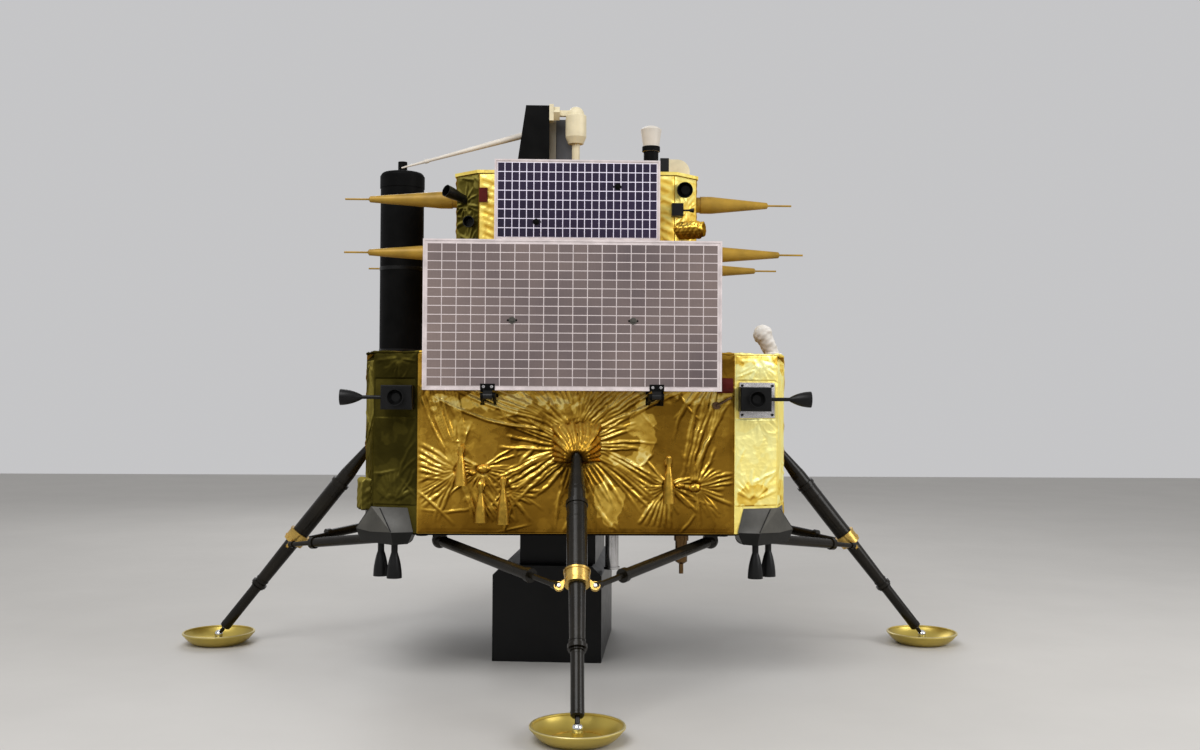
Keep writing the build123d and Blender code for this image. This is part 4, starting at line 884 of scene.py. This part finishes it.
class LANDER_OT_bay_blankets(bpy.types.Operator):
    """Foil on the two outer facets of each corner bay"""
    bl_idname = "lander.bay_blankets"
    bl_label = "Bay blankets"

    def execute(self, context):
        sizes = context.scene.lander_foil
        slope, bracket_top = 0.021, 0.080
        behind_unit = (-0.064, 0.060, BODY_TALL - 0.190, BODY_TALL - 0.078)
        # bright foil is the gold foil in painted light, olive foil the gold foil in painted shade
        # name, sides, finish, tone added to the painted light, strength of the folds' painted shading
        rows = (("front_right", 1, -1, "bright_foil", 0.20, 0.36),
                ("back_right", 1, 1, "bright_foil", 0.12, 0.36),
                ("back_left", -1, 1, "olive_foil", 0.02, 0.24),
                ("front_left", -1, -1, "olive_foil", 0.02, 0.24))
        for index, (name, x_sign, y_sign, finish, tone, strength) in enumerate(rows):
            bm = bmesh.new()
            for sideways in (False, True):
                corner, edge, out = facet(x_sign, y_sign, sideways)
                high = BODY_TALL - slope if sideways else BODY_TALL
                stars = [(0.01, high - 0.02, 0.006, 0.075, 14, 180, 180),
                         (-0.008, 0.094, 0.006, 0.10, 13, 15, 150)]
                flats = [(-1, 1, -1, bracket_top)]
                if not sideways:
                    flats.append(behind_unit)
                # painted light on the left bays' outer facets
                outer = 0.24 if sideways and x_sign < 0 else 0.0
                # painted shade in ragged patches at the top and low down on the right bays' facets
                shaded_top_and_low = ((0.0, high - 0.010, 0.085, 0.026, -0.50), (-0.01, 0.112, 0.062, 0.036, -0.34))
                blanket(bm, wall_matrix(corner + edge / 2 + UP * BELLY_Z, out), edge.length, high,
                        61 + index * 2 + sideways, sizes.depth * 0.7, sizes.fine_step, tone + outer, strength,
                        stars=stars, loose=9, flats=flats, patches=0.5, sheens=shaded_top_and_low if x_sign > 0 else ())
            skin(f"bay_blanket_{name}", bm, [finish])
        return {"FINISHED"}


class LANDER_OT_root_covers(bpy.types.Operator):
    """Crumpled wedges round the four legs' roots"""
    bl_idname = "lander.root_covers"
    bl_label = "Root covers"

    def execute(self, context):
        hearts = [turned_by(quarter) @ Vector((0, -0.700, 0.655)) for _, quarter in QUARTERS]
        bm = remeshed("root_covers", 0.0035)
        gather(bm, hearts, 26, 0.0085)
        crumple(bm, 0.0045, 0.040, 2.6)
        # painted shade round the hearts of the pleats, where the struts go in; painted light where the cover faces
        # up
        paint_turn_light(bm, -0.02, hearts, 0.034)
        made = skin("root_cover_foil", bm, ["gold_foil"])
        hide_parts("root_covers")
        return {"FINISHED"}


class LANDER_OT_stage_blankets(bpy.types.Operator):
    """Foil round the ascent stage, its top and its rim"""
    bl_idname = "lander.stage_blankets"
    bl_label = "Stage blankets"

    def execute(self, context):
        sizes = context.scene.lander_foil
        half = STAGE_HIGH.x - sizes.stage_rim
        flat = half - sizes.stage_cut
        low = STAGE_LOW.z
        below_rim = 0.008
        tall = STAGE_HIGH.z - low - below_rim
        stars = [(0.22, 0.33, 0.01, 0.10, 12, 0, 360), (-0.22, 0.12, 0.01, 0.11, 11, 0, 360),
                 (0.03, 0.2, 0.012, 0.14, 14, 0, 360)]
        for index, (side, quarter) in enumerate(QUARTERS):
            rng = np.random.RandomState(7 + index)
            creases = [((x, y + rng.uniform(-0.006, 0.006)), (x + 0.055, y - rng.uniform(0.018, 0.036)),
                        rng.uniform(0.45, 0.9)) for x, gap in ((-0.305, 0.024), (0.255, 0.031))
                       for y in np.arange(0.10, 0.46, gap)]
            finish, tone = ("warm_foil", 0.08) if side == "front" else ("gold_foil", 0.0)
            bm = bmesh.new()
            blanket(bm, side_matrix(quarter, half, low), flat * 2, tall, 81 + index, sizes.stage_depth,
                    sizes.step, tone, 0.5, stars=stars, lines=creases, patches=0.6)
            skin(f"stage_blanket_{side}", bm, [finish])
        self.chamfers(sizes, (half + flat) / math.sqrt(2), low, tall)
        self.top(half, sizes)
        self.rim(sizes)
        return {"FINISHED"}

    def chamfers(self, sizes, away, low, tall):
        """Foil on the stage's cut corners."""
        # olive foil is the gold foil in painted shade
        # name, turn, finish, tone added to the painted light, share of the depth
        rows = (("front_right", 45, "warm_foil", 0.06, 1.0), ("back_right", 135, "gold_foil", 0.05, 1.0),
                ("back_left", 225, "gold_foil", 0.0, 1.0), ("front_left", 315, "olive_foil", 0.24, 1.7))
        stars = [(0.0, up, 0.01, 0.09, 12, 0, 360) for up in (0.35, 0.20)]
        for index, (name, turn, finish, tone, share) in enumerate(rows):
            bm = bmesh.new()
            blanket(bm, side_matrix(turn, away, low), sizes.stage_cut * math.sqrt(2), tall, 91 + index,
                    sizes.stage_depth * share, sizes.fine_step, tone, stars=stars, loose=20)
            skin(f"chamfer_blanket_{name}", bm, [finish])

    def top(self, half, sizes):
        """Foil on the stage's flat top."""
        reach = half - sizes.stage_cut / 2
        planes = [(Vector((x_sign * reach, y_sign * reach, 0)), Vector((x_sign, y_sign, 0)).normalized())
                  for x_sign, y_sign in CORNERS]
        top_blanket("stage_top_blanket", half, STAGE_HIGH.z, planes, sizes.top_step, 37, sizes.stage_depth)

    def rim(self, sizes):
        """Taped strip round the stage's top edge."""
        proud, drop, tall, thick = 0.0012, 0.0085, 0.0097, 0.003
        outer = STAGE_HIGH.x + proud
        flat = outer - sizes.stage_cut
        plan = [(flat, -outer), (outer, -flat), (outer, flat), (flat, outer), (-flat, outer), (-outer, flat),
                (-outer, -flat), (-flat, -outer)]
        bm = bmesh.new()
        verts = [bm.verts.new((x, y, STAGE_HIGH.z - drop)) for x, y in plan]
        edges = [bm.edges.new(pair) for pair in zip(verts, verts[1:] + verts[:1])]
        extruded = bmesh.ops.extrude_edge_only(bm, edges=edges)["geom"]
        upper = [part for part in extruded if isinstance(part, bmesh.types.BMVert)]
        bmesh.ops.translate(bm, vec=(0, 0, tall), verts=upper)
        bmesh.ops.recalc_face_normals(bm, faces=bm.faces)
        bmesh.ops.solidify(bm, geom=bm.faces[:], thickness=thick)
        piece("stage_rim", bm, ["plain_bright"])


def panel_face(body, large):
    """Distance of a panel's outer face from the lander's middle plane."""
    return abs(HINGES[body][1]) + (BIG_HALF_THICK if large else SMALL_HALF_THICK)


class LANDER_OT_solar_cells(bpy.types.Operator):
    """Raised cells on the four solar panels"""
    bl_idname = "lander.solar_cells"
    bl_label = "Solar cells"

    def execute(self, context):
        sizes = context.scene.lander_panels
        clear, rise = 0.0004, 0.0006
        # columns, rows, width of the lines, border, finishes of lines and cells, slot
        big = (sizes.columns, sizes.rows, sizes.line, sizes.border, ["panel_frame", "cells"], "solar_cells")
        small = (sizes.upper_columns, sizes.upper_rows, sizes.upper_line, sizes.border * 0.8,
                 ["cool_lines", "dark_cells"], "solar_cells_dark")
        for body, name, side, large in PANELS:
            columns, rows, line, border, finishes, slot = big if large else small
            low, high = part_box(name)
            foot = low.z + PANEL_FOOT
            width = high.x - low.x - border * 2
            tall = high.z - foot - border * 2
            bm = bmesh.new()
            bmesh.ops.create_grid(bm, x_segments=columns, y_segments=rows, size=1.0)
            bmesh.ops.scale(bm, vec=(width / 2, tall / 2, 1), verts=bm.verts)
            rng = np.random.RandomState(columns)
            layer = bm.faces.layers.float.new("cell")
            for face in bm.faces:
                face[layer] = rng.uniform()
            inset = bmesh.ops.inset_individual(bm, faces=bm.faces[:], thickness=line / 2, depth=rise)
            lines = set(inset["faces"])
            for face in bm.faces:
                face.material_index = 0 if face in lines else 1
            outer = side * (panel_face(body, large) + clear)
            middle = ((low.x + high.x) / 2, outer, foot + border + tall / 2)
            bmesh.ops.transform(bm, matrix=wall_matrix(middle, (0, side, 0)), verts=bm.verts)
            piece(f"{name}_cells", bm, finishes, body=body, closed=False, sharp=12)
        return {"FINISHED"}


class LANDER_OT_leg_fittings(bpy.types.Operator):
    """Bands, bolts and pins on the four legs"""
    bl_idname = "lander.leg_fittings"
    bl_label = "Leg fittings"

    def execute(self, context):
        foot, top = Vector((0, -1.200, 0.030)), Vector((0, -0.650, 0.727))
        clamp_at, clamp_r, clamp_bolts = 0.408, 0.0345, 10
        lug_at, lug_side = 0.393, 0.048
        # start along the strut from the ball, outer radius, length
        bands = ((0.040, 0.0180, 0.006), (0.196, 0.0182, 0.010), (0.205, 0.0225, 0.003),
                 (0.232, 0.0222, 0.006), (0.444, 0.0292, 0.004), (0.452, 0.0290, 0.0025),
                 (0.600, 0.0292, 0.004), (0.634, 0.0295, 0.005), (0.672, 0.0245, 0.004),
                 (0.700, 0.0245, 0.004))
        way = (top - foot).normalized()
        square = Vector((0, way.z, -way.y))
        bolt_seat = Matrix.Translation((clamp_r, 0, clamp_at)) @ Matrix.Rotation(math.pi / 2, 4, "Y")
        dark, gold, pins, lips = bmesh.new(), bmesh.new(), bmesh.new(), bmesh.new()
        for _, quarter in QUARTERS:
            turn = turned_by(quarter)
            strut = turn @ standing(foot, way)
            for at, radius, long in bands:
                join(dark, band(radius - 0.004, radius, at, at + long), strut)
            for n in range(clamp_bolts):
                join(gold, bolt(0.0032, 0.0022), strut @ turned_by(360 * n / clamp_bolts) @ bolt_seat)
            for side in (-1, 1):
                eye = foot + way * lug_at + Vector((side * lug_side, 0, 0))
                join(pins, band(0.0001, 0.0058, -0.0085, 0.0085, 0.001, 20), turn @ standing(eye, square))
            pad = turn @ Matrix.Translation((0, foot.y, 0))
            join(lips, band(0.1128, 0.1185, 0.0362, 0.0400, 0.0015, 64), pad)
            join(gold, band(0.0700, 0.0712, 0.0040, 0.0054, 0.0005, 56), pad)
        piece("strut_bands", dark, ["black_tube"])
        piece("clamp_bolts", gold, ["gold_metal"])
        piece("lug_pins", pins, ["silver_metal"])
        piece("pad_lips", lips, ["pad_lip"])
        return {"FINISHED"}


class LANDER_OT_small_wraps(bpy.types.Operator):
    """Crumpled foil round the side box and the gold sensor, and cloth round the arm's shoulder"""
    bl_idname = "lander.small_wraps"
    bl_label = "Small wraps"

    def execute(self, context):
        # olive foil is the gold foil in painted shade
        # node, finish, slot, mesh step, depth, spacing of the folds, tone added to the painted light
        rows = (("side_box", "olive_foil", "olive_foil", 0.003, 0.005, 0.045, 0.22),
                ("arm_shoulder", "white_wrap", "white_paint", 0.0022, 0.007, 0.034, 0.12),
                ("gold_sensor", "gold_foil", "gold_foil", 0.002, 0.007, 0.030, 0.06))
        for name, finish, slot, step, depth, spacing, tone in rows:
            bm = remeshed(name, step)
            crumple(bm, depth, spacing, 5.1)
            paint_turn_light(bm, tone)
            made = skin(f"{name}_wrap", bm, [finish])
            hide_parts(name)
        return {"FINISHED"}


class LANDER_OT_small_fittings(bpy.types.Operator):
    """Hold-downs, hinge leaves, plate bolts, and the antenna's and drill's dark rings"""
    bl_idname = "lander.small_fittings"
    bl_label = "Small fittings"

    def execute(self, context):
        self.hold_downs()
        self.hinge_leaves()
        self.plate_bolts()
        low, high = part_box("horn_antenna")
        self.rings("antenna_ring", "black_paint", ((low.x + high.x) / 2, (low.y + high.y) / 2, low.z), 48,
                   ((0.0285, 0.0298, 0.1110, 0.1275, 0.0006), (0.0238, 0.0246, 0.0, 0.1110, 0.0006)))
        low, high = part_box("drill_housing")
        drum_r = 0.0755
        self.rings("drill_bands", "black_bell", (low.x + drum_r, (low.y + high.y) / 2, low.z), 72,
                   [(0.0728, 0.0748, at, at + 0.012, 0.0008) for at in (0.020, 0.300, 0.600)])
        return {"FINISHED"}

    def rings(self, name, finish, foot, steps, rows):
        """Bands round an upright axis. Rows: inner and outer radius, low, high, eased edge."""
        bm = bmesh.new()
        for row in rows:
            join(bm, band(*row, steps), Matrix.Translation(foot))
        piece(name, bm, [finish])

    def hold_downs(self):
        """Caps on short cross bars; the back panels' are the front ones' turned half round."""
        cap = [(0.0002, 0.0), (0.0098, 0.0), (0.0098, 0.0026), (0.0088, 0.0036), (0.0045, 0.0036),
               (0.0040, 0.0070), (0.0002, 0.0074)]
        # across, up from the hinge
        big, small = ((-0.186, 0.215), (0.158, 0.215)), ((0.124, 0.183), (-0.126, 0.073))
        for body, _, side, large in PANELS:
            bm = bmesh.new()
            for across, up in (big if large else small):
                spot = (-side * across, side * panel_face(body, large), HINGES[body][2] + up)
                seat = standing(spot, (0, side, 0))
                join(bm, spun(cap, 28), seat)
                join(bm, eased_box((0.030, 0.007, 0.0020), 0.0006), seat)
            piece(f"{body}_hold_downs", bm, ["grey_sheet" if large else "black_paint"], body=body)

    def hinge_leaves(self):
        """Black hinge leaves with two screws on the lower edge of each large panel."""
        apart, up, screw_side, screw_up = 0.240, 0.0345, 0.0115, 0.0355
        for body, name, side, large in PANELS:
            if not large:
                continue
            low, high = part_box(name)
            middle = (low.x + high.x) / 2
            face = panel_face(body, large) + 0.0002
            leaves, screws = bmesh.new(), bmesh.new()
            for x in (middle - apart, middle + apart):
                join(leaves, eased_box((0.042, 0.0040, 0.0195), 0.0014),
                     Matrix.Translation((x, side * face, low.z + up)))
                for step in (-screw_side, screw_side):
                    seat = standing((x + step, side * (face + 0.0018), low.z + screw_up), (0, side, 0))
                    join(screws, band(0.0008, 0.0042, 0.0, 0.0016, 0.0005, 24), seat)
            piece(f"{body}_hinge_leaves", leaves, ["black_paint"], body=body)
            piece(f"{body}_hinge_screws", screws, ["silver_metal"], body=body)

    def plate_bolts(self):
        """Dark bolts at the corners of the bright plates under the right thruster units."""
        plate_out, edge_in = 0.0036, 0.009
        low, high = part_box("backing_plates")
        bm = bmesh.new()
        for y_sign in (-1, 1):
            corner, edge, out = facet(1, y_sign)
            for along in (0.022, 0.120):
                for height in (low.z + edge_in, high.z - edge_in):
                    spot = corner + edge - edge.normalized() * along + out * plate_out + UP * height
                    join(bm, bolt(0.0042, 0.0036), standing(spot, out))
        piece("plate_bolts", bm, ["black_bell"])


class LANDER_OT_corner_gussets(bpy.types.Operator):
    """Sheet over each bay's ridge between the two plates of its bracket, and the brackets' dark seams"""
    bl_idname = "lander.corner_gussets"
    bl_label = "Corner gussets"

    def execute(self, context):
        corner, edge, out = facet(1, -1)
        foot = corner + edge + UP * BELLY_Z
        # along the facet from the flat side, out from it, up from the belly
        top, low = (foot - edge.normalized() * along + out * off + UP * up
                    for along, off, up in ((0.1175, 0.0022, 0.0725), (0.0635, 0.0372, 0.0040)))
        # out from the ridge, up from the belly
        folds = [Vector((corner.x + off, -corner.x - off, BELLY_Z + up))
                 for off, up in ((0.0035, 0.0740), (0.0065, 0.0010), (-0.022, 0.0700), (-0.022, 0.0060))]
        facing = [Vector((-spot.y, -spot.x, spot.z)) for spot in (top, low)]
        plates, seams = bmesh.new(), bmesh.new()
        for _, quarter in QUARTERS:
            plate = bmesh.new()
            for spot in (top, low, *folds, *facing):
                plate.verts.new(spot)
            bmesh.ops.convex_hull(plate, input=plate.verts[:])
            join(plates, plate, turned_by(quarter))
            for upper, lower in ((top, low), facing):
                line = upper - lower
                seam = band(0.0002, 0.0017, 0.002, line.length - 0.004, 0.0005, 14)
                join(seams, seam, turned_by(quarter) @ standing(lower, line))
        piece("corner_gussets", plates, ["grey_sheet"], sharp=20)
        piece("bracket_seams", seams, ["black_bell"])
        return {"FINISHED"}


class LANDER_OT_finishes(bpy.types.Operator):
    """Materials on the carried-over nodes"""
    bl_idname = "lander.finishes"
    bl_label = "Finishes"

    def execute(self, context):
        own = {"plain_foil": ("body_core", "ascent_body", "gold_sensor"),
               "plain_bright": ("corner_bay_front_right", "corner_bay_back_right"),
               "plain_olive": ("corner_bay_front_left", "corner_bay_back_left"),
               "pad_gold": [f"foot_pad_{side}" for side, _ in QUARTERS],
               "big_frame": ("solar_panel_front", "solar_panel_back"),
               "small_frame": ("ascent_panel_front", "ascent_panel_back"),
               "fittings": ("belly_fittings",), "bronze": ("drive_rods",), "bell_gold": ("face_bells",),
               "fin": ("dome_plate",), "rail": ("top_strip",), "white_paint": ("sample_rod",),
               "bracket": ("corner_brackets",)}
        finishes = {row["node"]: row["material_slot"] for row in frame["record"]["subparts"]}
        for finish, names in own.items():
            finishes.update(dict.fromkeys(names, finish))
        for name, made in NODES.items():
            made.data.materials.clear()
            made.data.materials.append(MATERIALS[finishes[name]])
        return {"FINISHED"}


class LANDER_OT_stage_set(bpy.types.Operator):
    """Floor, backdrop, lamps and camera"""
    bl_idname = "lander.stage_set"
    bl_label = "Stage"

    def execute(self, context):
        stage = context.scene.lander_stage
        context.scene.view_settings.view_transform = "Standard"
        bm = bmesh.new()
        bmesh.ops.create_grid(bm, x_segments=1, y_segments=1, size=9.0)
        floor = added("floor", meshed("floor", bm))
        satin("floor", stage.floor, 0.0, (0.5, 0.62), 2.0, 0.03)
        floor.data.materials.append(MATERIALS["floor"])
        self.world(stage)
        # name, place, height that it looks at, size
        lamps = (("key", (-1.6, -3.4, 4.6), 0.9, 3.2), ("fill", (3.8, -2.2, 2.6), 0.8, 2.4),
                 ("rim", (-1.0, 4.2, 3.6), 1.0, 2.6))
        for name, place, height, size in lamps:
            light = bpy.data.lights.new(name, "AREA")
            light.shape = "SQUARE"
            light.size = size
            light.energy = getattr(stage, name)
            added(name, light).matrix_world = looking(place, Vector((0, 0, height)) - Vector(place))
        self.camera(context.scene, stage)
        return {"FINISHED"}

    def world(self, stage):
        """Soft light from all round, and a backdrop for what the camera and mirror-like surfaces see."""
        world = bpy.data.worlds.new("studio")
        world.use_nodes = True
        bpy.context.scene.world = world
        tree = world.node_tree
        rays = tree.nodes.new("ShaderNodeLightPath").outputs
        seen = rays["Is Camera Ray"]
        for kind in ("Is Glossy Ray", "Is Transmission Ray"):
            seen = node(tree, "ShaderNodeMath", seen, rays[kind], operation="MAXIMUM").outputs["Value"]
        light = tree.nodes["Background"]
        wire(tree, light, Color=(1.0, 0.99, 0.97, 1.0), Strength=stage.world)
        backdrop = node(tree, "ShaderNodeBackground", Color=(*stage.backdrop, 1.0))
        mix = node(tree, "ShaderNodeMixShader", seen, light.outputs["Background"],
                   backdrop.outputs["Background"])
        wire(tree, tree.nodes["World Output"], Surface=mix.outputs["Shader"])

    def camera(self, scene, stage):
        """Camera in front, tilted up and rolled a little."""
        tilt, roll = math.radians(1.08), math.radians(0.33)
        lens = bpy.data.cameras.new("camera")
        lens.lens = stage.lens
        lens.sensor_width = 36.0
        camera = added("camera", lens)
        look = Vector((0.030, 0.9996, math.tan(tilt)))
        camera.matrix_world = looking(stage.camera, look) @ Matrix.Rotation(roll, 4, "Z")
        scene.camera = camera


class LANDER_PT_panel(bpy.types.Panel):
    """Lists the lander's operators and settings"""
    bl_idname = "LANDER_PT_panel"
    bl_label = "Lunar lander"
    bl_space_type = "VIEW_3D"
    bl_region_type = "UI"
    bl_category = "Lander"

    def draw(self, context):
        layout = self.layout
        for operator in OPERATORS:
            layout.operator(operator.bl_idname)
        for group in GROUPS:
            settings = getattr(context.scene, group)
            for name in settings.bl_rna.properties.keys():
                if name not in ("rna_type", "name"):
                    layout.prop(settings, name)


GROUPS = {"lander_foil": LanderFoil, "lander_panels": LanderPanels, "lander_paint": LanderPaint,
          "lander_stage": LanderStage}
OPERATORS = (LANDER_OT_finishes, LANDER_OT_body_blankets, LANDER_OT_bay_blankets, LANDER_OT_root_covers,
             LANDER_OT_stage_blankets, LANDER_OT_small_wraps, LANDER_OT_solar_cells, LANDER_OT_small_fittings,
             LANDER_OT_corner_gussets, LANDER_OT_leg_fittings, LANDER_OT_stage_set)


def register():
    for group in GROUPS.values():
        bpy.utils.register_class(group)
    for operator in OPERATORS:
        bpy.utils.register_class(operator)
    bpy.utils.register_class(LANDER_PT_panel)
    for name, group in GROUPS.items():
        setattr(bpy.types.Scene, name, PointerProperty(type=group))


def unregister():
    for name in GROUPS:
        delattr(bpy.types.Scene, name)
    bpy.utils.unregister_class(LANDER_PT_panel)
    for operator in reversed(OPERATORS):
        bpy.utils.unregister_class(operator)
    for group in reversed(list(GROUPS.values())):
        bpy.utils.unregister_class(group)


def main():
    register()
    paint = bpy.context.scene.lander_paint
    make_foils()
    for make in (make_metals, make_paints, make_panel_finishes, make_split_finishes):
        make(paint)
    for operator in OPERATORS:
        group, name = operator.bl_idname.split(".")
        getattr(getattr(bpy.ops, group), name)()


if __name__ == "__main__":
    main()
